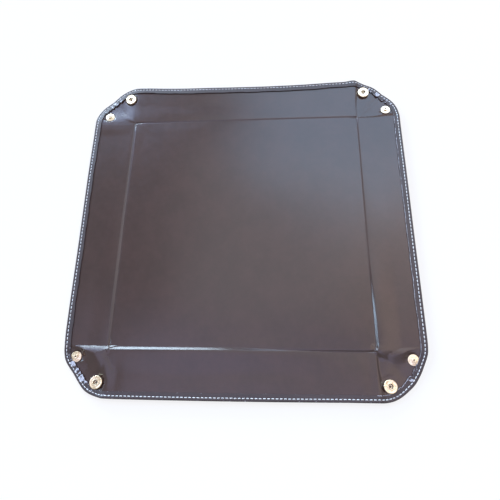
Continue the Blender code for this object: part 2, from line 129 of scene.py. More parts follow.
def rising(low: float, high: float, count: int) -> Array:
    """Evenly spaced values, both ends included."""
    return np.linspace(low, high, count + 1)


def unit(vectors: Array) -> Array:
    """Rows of length 1; rows of no length stay as they are."""
    length = np.linalg.norm(vectors, axis=1, keepdims=True)
    return vectors / np.where(length > 0, length, 1)


@dataclass(frozen=True)
class Groove:
    """How the lining crosses a crease, in millimetres outwards from its line.

    It sinks by the depth between base_top and base_foot, and rises to the wall between
    wall_foot and wall_top. The wall's inner edge stands proud by the lip, up a bank between
    lip_foot and lip_top, and the base's edge by the sill.
    """

    base_top: float
    base_foot: float
    wall_foot: float
    wall_top: float
    depth: float
    lip: float
    lip_foot: float
    lip_top: float
    sill: float = 0.0


BACK_GROOVE = Groove(
    base_top=-1.6, base_foot=-0.2, wall_foot=-0.6, wall_top=0.8,
    depth=0.12, lip=0.60, lip_foot=-0.7, lip_top=0.7,
)
LEFT_GROOVE = Groove(
    base_top=-1.2, base_foot=0.2, wall_foot=0.2, wall_top=1.2,
    depth=0.10, lip=0.50, lip_foot=0.4, lip_top=2.4,
)
FRONT_LEFT_GROOVE = Groove(
    base_top=-2.0, base_foot=1.0, wall_foot=-3.0, wall_top=0.6,
    depth=0.15, lip=1.85, lip_foot=-1.9, lip_top=1.0,
)
FRONT_RIGHT_GROOVE = Groove(
    base_top=-0.8, base_foot=2.0, wall_foot=1.0, wall_top=2.0,
    depth=0.10, lip=0.0, lip_foot=-1.9, lip_top=1.0, sill=0.7,
)
RIGHT_FRONT_GROOVE = Groove(
    base_top=-2.4, base_foot=-0.8, wall_foot=-1.8, wall_top=0.2,
    depth=0.10, lip=1.75, lip_foot=-1.1, lip_top=1.4,
)
RIGHT_BACK_GROOVE = Groove(
    base_top=-2.6, base_foot=-0.8, wall_foot=-1.8, wall_top=0.2,
    depth=0.15, lip=0.50, lip_foot=-2.2, lip_top=-0.2,
)


@dataclass(frozen=True)
class Crease:
    """A crease whose groove changes on its way, from lower to higher x or y."""

    start: Groove
    end: Groove
    change: Span = (-60.0, 60.0)

    def at(self, place: Array, trait: str) -> Array:
        """A trait of the groove at places along the crease, in metres."""
        low, high = getattr(self.start, trait), getattr(self.end, trait)
        return MM * (low + (high - low) * ramp(place / MM, *self.change))


@dataclass(frozen=True)
class CornerForm:
    """How the soft leather of a corner lies, from its last pinch.

    Past its walls' ends the leather drops by a share of the way to its hem, down a step as
    wide as given for the socket's and the stud's flap. The rise is the size of a ridge that
    the pinch has left, steep towards the stud's wall. Run on is how far the socket wall's lip
    goes on past the corner, and turn the radius by which the lips round it. The valley is the
    depth of a fold along the diagonal. Fray is how pale the hem grows at its raw edge, partly
    worn and partly painted light where that edge faces the lamps; rub is how pale its gathers
    are, partly worn and partly a painted highlight of the lamps on the pleats.
    """

    drop: float
    socket_step: float
    stud_step: float
    seed: int
    fray: float
    rub: float
    rise: float = 0.0
    run_on: float = 0.0
    turn: float = 2 * MM
    valley: float = 0.0
    pleats: int = 6


@dataclass(frozen=True)
class Tug:
    """A place where the sewing has pulled the outline in or out, in the plane."""

    x: float
    y: float
    across: float
    out: float
    reach: float


@dataclass(frozen=True)
class Wave:
    """A slow wave in a panel: a sine along x, which may lean with y, times a cosine along y."""

    height: float
    x_scale: float
    x_shift: float
    y_scale: float = math.inf
    y_shift: float = 0.0
    lean: float = 0.0

    def at(self, x: Array, y: Array) -> Array:
        """The wave's height at points of the pattern."""
        sine = np.sin((x + self.lean * y) / self.x_scale + self.x_shift)
        return self.height * sine * np.cos(y / self.y_scale + self.y_shift)


@dataclass(frozen=True)
class Outline:
    """The flat tray's outline, with its creases and its snaps.

    The reach is how far the corner's cut lies from the base's corner. The walls' boards end
    at wall_end. Walls turn about lines at the hinge's height. The bend is half the width over
    which a crease turns, and the strip half the width of the bend between a corner's flaps.
    """

    crease: float = 118 * MM
    edge: float = 160 * MM
    reach: float = (ROOT2 * 42 - 21) * MM
    wall_end: float = 115.227 * MM
    hinge_height: float = 2.0 * MM
    bend: float = 1.5 * MM
    strip: float = 3.0 * MM
    snap_from_edge: float = 13.1 * MM
    snap_past_crease: float = 7.4 * MM
    socket_radius: float = 5.7 * MM
    stud_radius: float = 4.7 * MM
    snap_margin: float = 0.1 * MM
    past_edge: float = 1.1

    @property
    def round_radius(self) -> float:
        """The radius between a straight edge and a corner's cut."""
        wall = self.edge - self.crease
        return (ROOT2 * self.reach - wall) / math.tan(math.pi / 8)

    @property
    def join(self) -> float:
        """How far along a socket wall its own panels reach, where the flap starts."""
        return self.crease - ROOT2 * self.strip

    @property
    def middle_run(self) -> float:
        """The way along the edge from a wall's middle to the middle of a corner."""
        radius = self.round_radius
        turn = Vector((self.crease, self.edge - radius)) + radius * Vector((1, 1)) / ROOT2
        centre = Vector((1, 1)) * (self.crease + self.reach / ROOT2)
        return self.crease + radius * math.pi / 4 + (centre - turn).length

    @property
    def snap_near(self) -> float:
        """A snap's place along the wall that carries it."""
        return self.crease + self.snap_past_crease

    @property
    def snap_far(self) -> float:
        """A snap's place outwards from the middle of the tray."""
        return self.edge - self.snap_from_edge

    def edge_foot(self, run: Array) -> tuple[Array, Array]:
        """The edge of the back right quarter and its outward normal.

        Args:
            run: The way along the edge, from the middle of the back wall.

        Returns:
            Points and normals as (x, y).
        """
        past = run > self.middle_run
        way = np.where(past, 2 * self.middle_run - run, run)
        radius = self.round_radius
        angle = np.clip((way - self.crease) / radius, 0, math.pi / 4)
        along = np.minimum(way, self.crease)
        extra = np.maximum(way - self.crease - radius * math.pi / 4, 0) / ROOT2
        x = along + radius * np.sin(angle) + extra
        y = self.edge - radius + radius * np.cos(angle) - extra
        foot = np.stack([np.where(past, y, x), np.where(past, x, y)], -1)
        nx, ny = np.sin(angle), np.cos(angle)
        normal = np.stack([np.where(past, ny, nx), np.where(past, nx, ny)], -1)
        return foot, normal

    def share_out(self, out: Array) -> Array:
        """How far a place lies on the way from a crease to the edge, and a little past it."""
        share = (out - self.crease) / (self.edge - self.crease)
        return np.clip(share, 0, self.past_edge)

    def far_from_snaps(self, x: Array, y: Array, reach: float) -> Array:
        """0 under the snaps' discs, and 1 from that far outside them."""
        near, far = self.snap_near, self.snap_far
        clear = np.ones_like(x)
        for sign_x, sign_y in (corner.value for corner in Corner):
            for place_x, place_y, radius in (
                (near, far, self.socket_radius), (far, near, self.stud_radius)
            ):
                away = np.hypot(x - sign_x * place_x, y - sign_y * place_y) - radius
                clear = clear * ramp(away, self.snap_margin, reach)
        return clear

    def socket_bend(self, corner: Corner) -> tuple[str, tuple, tuple]:
        """The wall that carries a socket flap, and where the bend from it starts and ends."""
        x, y = corner.value
        wall = "wall_back" if y > 0 else "wall_front"
        row, height = y * self.edge, self.hinge_height
        start, end = x * self.join, x * (self.join + 2 * self.bend)
        return wall, (start, row, height), (end, row, height)

    def stud_bend(self, corner: Corner) -> tuple[tuple, tuple]:
        """Where the bend between a corner's flaps starts and ends, across the diagonal."""
        x, y = corner.value
        away = self.strip / ROOT2
        low, high, height = self.edge - away, self.edge + away, self.hinge_height
        return (x * low, y * high, height), (x * high, y * low, height)


@dataclass(frozen=True)
class Relief:
    """The leather's slow unevenness, and how its outline has settled.

    A corner leans up from its diagonal, past the walls' ends. Waves run over the panels and,
    towards the edge, over the walls. The back and the front edge are bowed, and the left one
    is shifted by a distance that changes from front to back.
    """

    corner_lean: float = 0.052
    diagonal_soft: float = 3 * MM
    lean_start: float = 6 * MM
    valley_start: float = 9 * MM
    snap_clear: float = 5 * MM
    crease_calm: Span = (1 * MM, 12 * MM)
    corner_calm: Span = (100 * MM, 112 * MM)
    wall_waves_start: Span = (2 * MM, 30 * MM)
    waves: tuple[Wave, ...] = (
        Wave(0.16 * MM, 21 * MM, 1.3, 27 * MM, -0.4),
        Wave(0.14 * MM, 34 * MM, 0.5, lean=0.7),
    )
    wall_wave: Wave = Wave(0.25 * MM, 17 * MM, 0.8, 19 * MM, 2.1 - math.pi / 2)
    back_bow: float = 1.5 * MM
    front_bow: float = 0.6 * MM
    front_bow_middle: float = -20 * MM
    front_bow_half: float = 110 * MM
    left_shift: Span = (0.8 * MM, -1.3 * MM)
    left_shift_change: Span = (-130 * MM, 110 * MM)
    tugs: tuple[Tug, ...] = (
        Tug(98 * MM, 160 * MM, 0.0, 1.0 * MM, 24 * MM),
        Tug(116 * MM, 160 * MM, 0.3 * MM, 1.8 * MM, 7 * MM),
        Tug(129 * MM, 158 * MM, -0.4 * MM, -1.2 * MM, 8 * MM),
        Tug(-110 * MM, 160 * MM, 0.0, 1.0 * MM, 26 * MM),
        Tug(-160 * MM, -118 * MM, 0.9 * MM, 0.0, 9 * MM),
        Tug(-152 * MM, -137 * MM, 1.5 * MM, 1.0 * MM, 11 * MM),
        Tug(-126 * MM, -158 * MM, 0.4 * MM, 0.5 * MM, 8 * MM),
        Tug(155 * MM, -129 * MM, -1.8 * MM, 1.0 * MM, 11 * MM),
        Tug(146 * MM, -147 * MM, 1.2 * MM, -0.4 * MM, 8 * MM),
        Tug(-146 * MM, 146 * MM, 0.2 * MM, 0.1 * MM, 8 * MM),
    )

    def height(self, outline: Outline, x: Array, y: Array, valley: Array) -> Array:
        """How far the leather stands up or down from its even shape.

        Args:
            outline: The tray's outline.
            x: Places of the pattern.
            y: Places of the pattern.
            valley: The depth of the fold along each place's own diagonal.

        Returns:
            Heights.
        """
        ax, ay = abs(x), abs(y)
        near, far = np.minimum(ax, ay), np.maximum(ax, ay)
        deep = near - outline.wall_end
        across = abs(ay - ax) / ROOT2
        lean = self.corner_lean * (np.sqrt(across**2 + self.diagonal_soft**2) - across)
        fold = valley * hump(across, self.diagonal_soft)
        corner = lean * ramp(deep, 0, self.lean_start) - fold * ramp(deep, 0, self.valley_start)
        corner = corner * outline.far_from_snaps(x, y, self.snap_clear)
        calm = np.minimum(
            *(ramp(abs(value - outline.crease), *self.crease_calm) for value in (ax, ay))
        )
        calm = calm * (1 - ramp(near, *self.corner_calm))
        wall = self.wall_wave.at(x, y) * ramp(far - outline.crease, *self.wall_waves_start)
        return corner + calm * (sum(wave.at(x, y) for wave in self.waves) + wall)

    def moved(self, outline: Outline, flat: Array) -> Array:
        """Points of the pattern with its edges bowed and tugged, in the plane."""
        x, y = flat[:, 0], flat[:, 1]
        moved = flat.copy()
        bow = self.back_bow * np.clip(1 - (x / outline.crease) ** 2, 0, 1)
        moved[:, 1] -= bow * outline.share_out(y)
        along = (x - self.front_bow_middle) / self.front_bow_half
        bow = self.front_bow * np.clip(1 - along**2, 0, 1)
        moved[:, 1] -= bow * outline.share_out(-y)
        front, back = self.left_shift
        shift = front + (back - front) * ramp(y, *self.left_shift_change)
        moved[:, 0] += shift * outline.share_out(-x)
        for tug in self.tugs:
            share = hump(np.hypot(x - tug.x, y - tug.y), tug.reach)
            moved[:, 0] += tug.across * share
            moved[:, 1] += tug.out * share
        return moved


@dataclass(frozen=True)
class Swelling:
    """How the lining stands proud along the creases, and where the last pinch has left it.

    A lip rises up its bank and runs out on the wall. The ridge between two walls' ends has
    its slopes, given by the way in millimetres from the stud wall's end, and rises gently
    along the socket wall's end. The least ways and heights keep sums from dividing by 0.
    """

    bank_round: float = 0.5 * MM
    lip_runs_out: float = 22 * MM
    corner_gain: float = 0.8
    least_way: float = 0.015 * MM
    least_height: float = 0.0015 * MM
    least_run_on: float = 0.01 * MM
    sill_start: Span = (-28 * MM, -3 * MM)
    sill_edge: Span = (-0.8 * MM, 2.0 * MM)
    run_on_fades: Span = (0.1, 1.0)
    ridge_slopes: Steps = ((0, 0.66), (3, 0.66), (7, 0.38), (9.5, 0.0))
    ridge_way: float = 10.0
    ridge_step: float = 0.25
    ridge_rise: Span = (-8 * MM, 18 * MM)
    ridge_end: Span = (12 * MM, 30 * MM)
    lip_clear: float = 3 * MM
    ridge_clear: float = 5 * MM

    def lip(self, past: Array, height: Array, foot: Array, top: Array) -> Array:
        """A lip's height at a way past the crease, up its bank and out on the wall."""
        out = 1 - ramp(past, top, self.lip_runs_out)
        return height * bank(past, foot, top, self.bank_round) * out

    def ridge(self, past_x: Array, past_y: Array) -> Array:
        """The ridge's height at ways past the two walls' ends."""
        way = np.arange(0, self.ridge_way + self.ridge_step / 2, self.ridge_step)
        slope = np.interp(way, *zip(*self.ridge_slopes))
        risen = np.concatenate([[0], np.cumsum(slope[1:] + slope[:-1])]) * self.ridge_step / 2
        steep = np.interp(past_y / MM, way, risen) * MM
        gentle = risen[-1] * MM * ramp(past_x, *self.ridge_rise)
        end = 1 - ramp((past_x + past_y) / ROOT2, *self.ridge_end)
        return np.minimum(steep, gentle * end)


Side = tuple[Array, Array, Crease, Crease]


@dataclass(frozen=True)
class Pattern(Outline):
    """The flat pattern's heights, and how it settles and folds to rest.

    The boards' fill fades towards the corners over fill_fades. Past the walls' ends the
    leather steps down, in a step that widens outwards, and it drops near the corner's cut.
    """

    rest_fold: float = math.radians(3)
    flap_fold: float = math.radians(1.5089)
    panel_top: float = 2.85 * MM
    flap_level: float = 2.4 * MM
    flap_top: float = 1.65 * MM
    hem_rise: float = 0.95 * MM
    hem_round: float = 1.2 * MM
    fill_fades: Span = (106 * MM, 116 * MM)
    wall_runs_out: float = 30 * MM
    flap_change: Span = (-3 * MM, 6 * MM)
    step_widens: float = 3 * MM
    step_widening: Span = (12 * MM, 36 * MM)
    step_shares: Span = (0.15, 1.15)
    cut_drop: Span = (3 * MM, 35 * MM)
    pressed: float = 1.4 * MM
    creases: tuple[Crease, ...] = (
        Crease(BACK_GROOVE, replace(BACK_GROOVE, lip=0.45)),
        Crease(LEFT_GROOVE, replace(LEFT_GROOVE, lip=0.18)),
        Crease(FRONT_LEFT_GROOVE, FRONT_RIGHT_GROOVE, (-45.0, 92.0)),
        Crease(RIGHT_FRONT_GROOVE, RIGHT_BACK_GROOVE, (-102.0, -28.0)),
    )
    # The fray and rub of each corner paint its hem pale: partly wear, partly painted light and a
    # painted highlight of the lamps, strongest at the front corners.
    forms: tuple[CornerForm, ...] = (
        CornerForm(
            drop=0.3, socket_step=2.5 * MM, stud_step=2.5 * MM, valley=0.3 * MM,
            seed=3, fray=0.35, rub=0.7,
        ),
        CornerForm(
            drop=0.0, socket_step=14 * MM, stud_step=14 * MM, valley=0.15 * MM,
            seed=7, fray=0.3, rub=0.6,
        ),
        CornerForm(
            drop=0.3, socket_step=6 * MM, stud_step=6 * MM, rise=1.0, run_on=38 * MM,
            seed=11, fray=0.6, rub=1.0,
        ),
        CornerForm(
            drop=1.0, socket_step=2.7 * MM, stud_step=12 * MM, rise=0.3, turn=5 * MM,
            seed=19, fray=1.0, rub=0.4, pleats=4,
        ),
    )
    relief: Relief = Relief()
    swelling: Swelling = Swelling()

    def by_corner(self, x: Array, y: Array, trait: str) -> Array:
        """A corner form's trait for every point, by its quarter of the tray."""
        found = np.zeros_like(x)
        for corner, form in zip(Corner, self.forms):
            here = (x * corner.value[0] >= 0) & (y * corner.value[1] >= 0)
            found = np.where(here, getattr(form, trait), found)
        return found

    def _sides(self, x: Array, y: Array) -> tuple[Side, Side]:
        """What front and back creases are measured by, and what left and right ones."""
        back, left, front, right = self.creases
        return (y, x, front, back), (x, y, left, right)

    @staticmethod
    def _side(side: Side, trait: str) -> Array:
        """A trait of the crease on a point's side of the base."""
        out, place, low, high = side
        return np.where(out > 0, high.at(place, trait), low.at(place, trait))

    def _base_plateau(self, side: Side) -> Array:
        """1 over the base board and 0 in the grooves on both sides of it."""
        foot, top = self._side(side, "base_foot"), self._side(side, "base_top")
        return 1 - ramp((abs(side[0]) - self.crease - top) / (foot - top), 0, 1)

    def _wall_plateau(self, side: Side) -> Array:
        """1 over a wall's board, falling to its crease and running out into its flaps."""
        foot, top = self._side(side, "wall_foot"), self._side(side, "wall_top")
        rise = ramp((abs(side[0]) - self.crease - foot) / (top - foot), 0, 1)
        return rise * (1 - ramp(abs(side[1]) - self.wall_end, 0, self.wall_runs_out))

    def lining_height(self, x: Array, y: Array) -> Array:
        """The top of the lining above the table, before folding."""
        ax, ay = abs(x), abs(y)
        rows, columns = self._sides(x, y)
        base = self._base_plateau(rows) * self._base_plateau(columns)
        walls = 1 - (1 - self._wall_plateau(rows)) * (1 - self._wall_plateau(columns))
        board = 1 - (1 - base) * (1 - walls)
        full = self.panel_top - self.flap_level
        depth = np.where(ax > ay, self._side(columns, "depth"), self._side(rows, "depth"))
        filled = (1 - depth / full) * (1 - ramp(np.minimum(ax, ay), *self.fill_fades))
        level = self.flap_level + full * (filled + (1 - filled) * board)
        return self.flap_top + (level - self.flap_top) * self._free(x, y)

    def _free(self, x: Array, y: Array) -> Array:
        """0 where snaps press the leather down, and less than 1 beyond the walls' ends."""
        ax, ay = abs(x), abs(y)
        from_cut = (ROOT2 * self.reach + 2 * self.crease - ax - ay) / ROOT2
        out = np.maximum(ax, ay) - self.crease
        socket_side = ramp(ay - ax, *self.flap_change)
        step = self.by_corner(x, y, "socket_step") * socket_side
        step = step + self.by_corner(x, y, "stud_step") * (1 - socket_side)
        step = np.maximum(step, MM) + self.step_widens * ramp(out, *self.step_widening)
        drop = self.by_corner(x, y, "drop")
        drop = drop + (1 - drop) * (1 - ramp(from_cut, *self.cut_drop))
        sunk = drop * ramp((np.minimum(ax, ay) - self.wall_end) / step, *self.step_shares)
        return (1 - sunk) * self.far_from_snaps(x, y, self.pressed)

    def swell(self, x: Array, y: Array) -> Array:
        """How far the lining alone stands up: along the creases and at the corners' crests."""
        form = self.swelling
        lips = np.maximum(self._rim(x, y), self._run_on(x, y))
        ridge = form.ridge(abs(x) - self.wall_end, abs(y) - self.wall_end)
        ridge = ridge * self.by_corner(x, y, "rise")
        return np.maximum(
            lips * self.far_from_snaps(x, y, form.lip_clear),
            ridge * self.far_from_snaps(x, y, form.ridge_clear),
        )

    def _rim(self, x: Array, y: Array) -> Array:
        """The lips round the base where the walls' inner edges stand proud, and its sills."""
        form = self.swelling
        rows, columns = self._sides(x, y)
        corner_round = self.by_corner(x, y, "turn")
        out_x = np.maximum(abs(x) - self.crease + corner_round, 0)
        out_y = np.maximum(abs(y) - self.crease + corner_round, 0)
        past = np.hypot(out_x, out_y) - corner_round
        share = ramp(out_y / np.maximum(out_x + out_y, form.least_way), 0, 1)
        column = self._side(columns, "lip") * (1 - ramp(share, 0.5, 1)) + form.least_height
        row = self._side(rows, "lip") * ramp(share, 0, 0.5)
        lean = row / (row + column)
        foot, top = (
            self._side(columns, trait) * (1 - lean) + self._side(rows, trait) * lean
            for trait in ("lip_foot", "lip_top")
        )
        height = np.maximum(column, row) * (1 + form.corner_gain * share * (1 - share))
        sill = self._side(columns, "sill") * (1 - share) + self._side(rows, "sill") * share
        sill = sill * ramp(past, *form.sill_start) * (1 - ramp(past, *form.sill_edge))
        return np.maximum(form.lip(past, height, foot, top), sill)

    def _run_on(self, x: Array, y: Array) -> Array:
        """The front and back lips where they go on past the base's corners."""
        form = self.swelling
        rows, _ = self._sides(x, y)
        height, foot, top = (self._side(rows, trait) for trait in ("lip", "lip_foot", "lip_top"))
        length = np.maximum(self.by_corner(x, y, "run_on"), form.least_run_on)
        carried = 1 - ramp((abs(x) - self.crease) / length, *form.run_on_fades)
        carried = carried * (abs(x) > self.crease - self.bend)
        return form.lip(abs(y) - self.crease, height, foot, top) * carried

    def settle(self, flat: Array) -> Array:
        """Adds the unevenness to points of the pattern: height, bowed edges and tugs."""
        x, y = flat[:, 0], flat[:, 1]
        moved = self.relief.moved(self, flat)
        moved[:, 2] += self.relief.height(self, x, y, self.by_corner(x, y, "valley"))
        return moved

    def fold(self, flat: Array) -> Array:
        """Folds points of the flat pattern to the rest pose, round the soft creases.

        Args:
            flat: Points as rows of (x, y, z), anywhere in the pattern.

        Returns:
            The same points with the walls and the corners up at rest.
        """
        sign = np.where(flat[:, :2] < 0, -1.0, 1.0)
        ax, ay = abs(flat[:, 0]), abs(flat[:, 1])
        stud_half = ax > ay
        near, out = np.where(stud_half, ay, ax), np.where(stud_half, ax, ay)
        height = flat[:, 2]
        lift = ramp(out, self.crease - self.bend, self.crease + self.bend)
        turn = ramp(near, self.join, self.join + 2 * self.bend) * lift * self.flap_fold
        arm = near - self.wall_end
        side = self.wall_end + arm * np.cos(turn) + height * np.sin(turn)
        height = -arm * np.sin(turn) + height * np.cos(turn)
        turn = self.rest_fold * lift
        arm, rise = out - self.crease, height - self.hinge_height
        depth = self.crease + arm * np.cos(turn) - rise * np.sin(turn)
        height = self.hinge_height + arm * np.sin(turn) + rise * np.cos(turn)
        across = (out - near) / ROOT2
        slip = (side - depth) + ROOT2 * across
        share = (1 - ramp(across, 0, self.strip)) * lift / 2
        side, depth = side - slip * share, depth + slip * share
        x, y = np.where(stud_half, depth, side), np.where(stud_half, side, depth)
        return np.stack([x * sign[:, 0], y * sign[:, 1], height], -1)

    def at_rest(self, flat: Array) -> Array:
        """Points of the flat pattern, settled and folded."""
        return self.fold(self.settle(flat))


@dataclass(frozen=True)
class Place:
    """Where a panel's own drawing goes in the pattern: turned for walls, mirrored for corners."""

    matrix: tuple[tuple[float, float], tuple[float, float]]

    @classmethod
    def of(cls, part: Wall | Corner) -> "Place":
        """The place of a wall, drawn as the back one, or a corner, drawn as the back right."""
        if isinstance(part, Wall):
            turn = part.value * math.pi / 2
            cos, sin = round(math.cos(turn)), round(math.sin(turn))
            return cls(((cos, -sin), (sin, cos)))
        return cls(((part.value[0], 0), (0, part.value[1])))

    def put(self, xy: Array) -> Array:
        """Own (x, y) rows to the pattern's."""
        return xy @ np.array(self.matrix, float).T


@dataclass(frozen=True)
class Pleats:
    """The gathers of one corner's hem, as cells along the edge about the corner's middle."""

    starts: tuple[float, ...]
    heights: tuple[float, ...]
    notches: tuple[float, ...]

    SPAN = 35 * MM
    WIDTHS = (0.5, 1.8)
    HEIGHTS = (0.3 * MM, 0.75 * MM)
    NOTCHES = (0.8 * MM, 3.2 * MM)
    CREST = 0.6
    FALL = (0.84, 0.99)
    TOOTH = 1.3 * MM
    NOTCH_AT = 0.94
    NOTCH_WIDTH = 0.09

    @classmethod
    def of(cls, form: CornerForm) -> "Pleats":
        """Cells between the two snaps, unevenly spaced."""
        draw = np.random.default_rng(form.seed)
        way = np.cumsum(draw.uniform(*cls.WIDTHS, form.pleats))
        ends = (np.concatenate([[0], way / way[-1]]) - 0.5) * cls.SPAN
        heights = draw.uniform(*cls.HEIGHTS, form.pleats)
        notches = draw.uniform(*cls.NOTCHES, form.pleats)
        return cls(tuple(ends), tuple(heights), tuple(notches))

    def shape(self, along: Array) -> tuple[Array, Array]:
        """Height of the gathers and reach of the hem's raw edge past its plain width.

        Args:
            along: The way along the edge from the corner's middle.

        Returns:
            Height and reach, both 0 outside the gathers.
        """
        height, reach = np.zeros_like(along), np.zeros_like(along)
        cells = zip(self.starts, self.starts[1:], self.heights, self.notches)
        for start, end, high, notch in cells:
            share = (along - start) / (end - start)
            inside = (share >= 0) & (share < 1)
            inner = np.clip(share, 0, 1)
            slope = inner**self.CREST * (1 - ramp(inner, *self.FALL))
            tooth = self.TOOTH * inner - notch * hump(inner - self.NOTCH_AT, self.NOTCH_WIDTH)
            height = np.where(inside, high * slope, height)
            reach = np.where(inside, tooth, reach)
        return height, reach


class Bench:
    """Blender's own tools, used on one object at a time."""

    @staticmethod
    def only(*chosen: bpy.types.Object) -> None:
        """Selects these objects alone, the first one active."""
        bpy.ops.object.select_all(action="DESELECT")
        for item in chosen:
            item.select_set(True)
        bpy.context.view_layer.objects.active = chosen[0]

    @staticmethod
    def added(primitive: Callable[..., object], **settings: object) -> bpy.types.Object:
        """Adds an object by one of Blender's own primitives, with nothing else selected."""
        bpy.ops.object.select_all(action="DESELECT")
        primitive(**settings)
        return bpy.context.object

    @staticmethod
    @contextmanager
    def editing(item: bpy.types.Object) -> Iterator[None]:
        """Edit mode on one object, with everything selected."""
        Bench.only(item)
        bpy.ops.object.mode_set(mode="EDIT")
        bpy.ops.mesh.select_all(action="SELECT")
        yield
        bpy.ops.object.mode_set(mode="OBJECT")

    @staticmethod
    def named(item: bpy.types.Object, name: str) -> bpy.types.Object:
        """Gives an object and its mesh one name."""
        item.name = name
        item.data.name = name
        return item

    @staticmethod
    def apply(item: bpy.types.Object, kind: str, **settings: object) -> None:
        """Adds a modifier with these settings and applies it."""
        Bench.only(item)
        modifier = item.modifiers.new("step", kind)
        for name, value in settings.items():
            setattr(modifier, name, value)
        bpy.ops.object.modifier_apply(modifier=modifier.name)

    @staticmethod
    def places(item: bpy.types.Object) -> Array:
        """The places of an object's vertices as rows."""
        found = np.empty(len(item.data.vertices) * 3)
        item.data.vertices.foreach_get("co", found)
        return found.reshape(-1, 3)

    @staticmethod
    def move(item: bpy.types.Object, places: Array) -> None:
        """Moves an object's vertices to these places."""
        item.data.vertices.foreach_set("co", places.astype(np.float32).ravel())
        item.data.update()

    @staticmethod
    def merged(item: bpy.types.Object, distance: float = WELD, closed: bool = False) -> None:
        """Merges vertices that meet; on a closed shape the faces are turned outwards."""
        with Bench.editing(item):
            bpy.ops.mesh.remove_doubles(threshold=distance)
            if closed:
                bpy.ops.mesh.delete_loose()
                bpy.ops.mesh.select_all(action="SELECT")
                bpy.ops.mesh.normals_make_consistent(inside=False)

    @staticmethod
    def joined(name: str, parts: Sequence[bpy.types.Object]) -> bpy.types.Object:
        """Joins objects into one mesh with this name."""
        Bench.only(*parts)
        if len(parts) > 1:
            bpy.ops.object.join()
        return Bench.named(bpy.context.view_layer.objects.active, name)

    @staticmethod
    def smooth(item: bpy.types.Object) -> None:
        """Shades an object smooth."""
        Bench.only(item)
        bpy.ops.object.shade_smooth()


class Grid:
    """A grid primitive whose vertices take given places, by row and column."""

    def __init__(self, points: Array) -> None:
        """Adds the grid.

        Args:
            points: Places as (rows, columns, 3).
        """
        rows, columns = points.shape[0] - 1, points.shape[1] - 1
        self.item = Bench.added(
            bpy.ops.mesh.primitive_grid_add, x_subdivisions=columns, y_subdivisions=rows, size=1
        )
        here = Bench.places(self.item)
        self.column = np.rint((here[:, 0] + 0.5) * columns).astype(int)
        self.row = np.rint((here[:, 1] + 0.5) * rows).astype(int)
        Bench.move(self.item, points[self.row, self.column])

    def store(self, name: str, values: Array) -> None:
        """Stores a number or a vector per vertex, given by row and column."""
        vector = values.ndim == 3
        kind = "FLOAT_VECTOR" if vector else "FLOAT"
        layer = self.item.data.attributes.new(name, kind, "POINT")
        found = values[self.row, self.column].astype(np.float32)
        layer.data.foreach_set("vector" if vector else "value", found.ravel())


@dataclass
class Panel:
    """Columns of the pattern: each runs from a root inside to a foot on the outer edge.

    Args:
        place: Where the drawing goes.
        runs: The columns' places along the edge.
        root: Gives the column's root for a place along the edge, as (x, y).
        hem: Gives the hem's plain width for a place along the edge.
        pleats: The gathers of this panel's hem, if it has any.
        hand: 1, or -1 where the place is a mirror image.
        fray: How pale the hem grows at its raw edge, partly by wear and partly as
        painted light where that edge faces the lamps.
        rub: How pale the gathers are, partly rubbed and partly a painted highlight of
        the lamps on the pleats.
    """

    place: Place
    runs: Array
    root: Callable[[Array], Array]
    hem: Callable[[Array], Array]
    pleats: Pleats | None = None
    hand: float = 1.0
    fray: float = 0.0
    rub: float = 0.0

    def flat(self, pattern: Pattern, run: Array, inward: Array, share: Array) -> Array:
        """Points of the pattern.

        Args:
            pattern: The tray's pattern.
            run: Places along the edge.
            inward: How far in from the edge a point lies, where share is 0.
            share: How far on the way from there to the root.

        Returns:
            (x, y) rows in the pattern.
        """
        foot, normal = pattern.edge_foot(run)
        start = foot - inward[:, None] * normal
        root = self.root(run)
        return self.place.put(start + share[:, None] * (root - start))


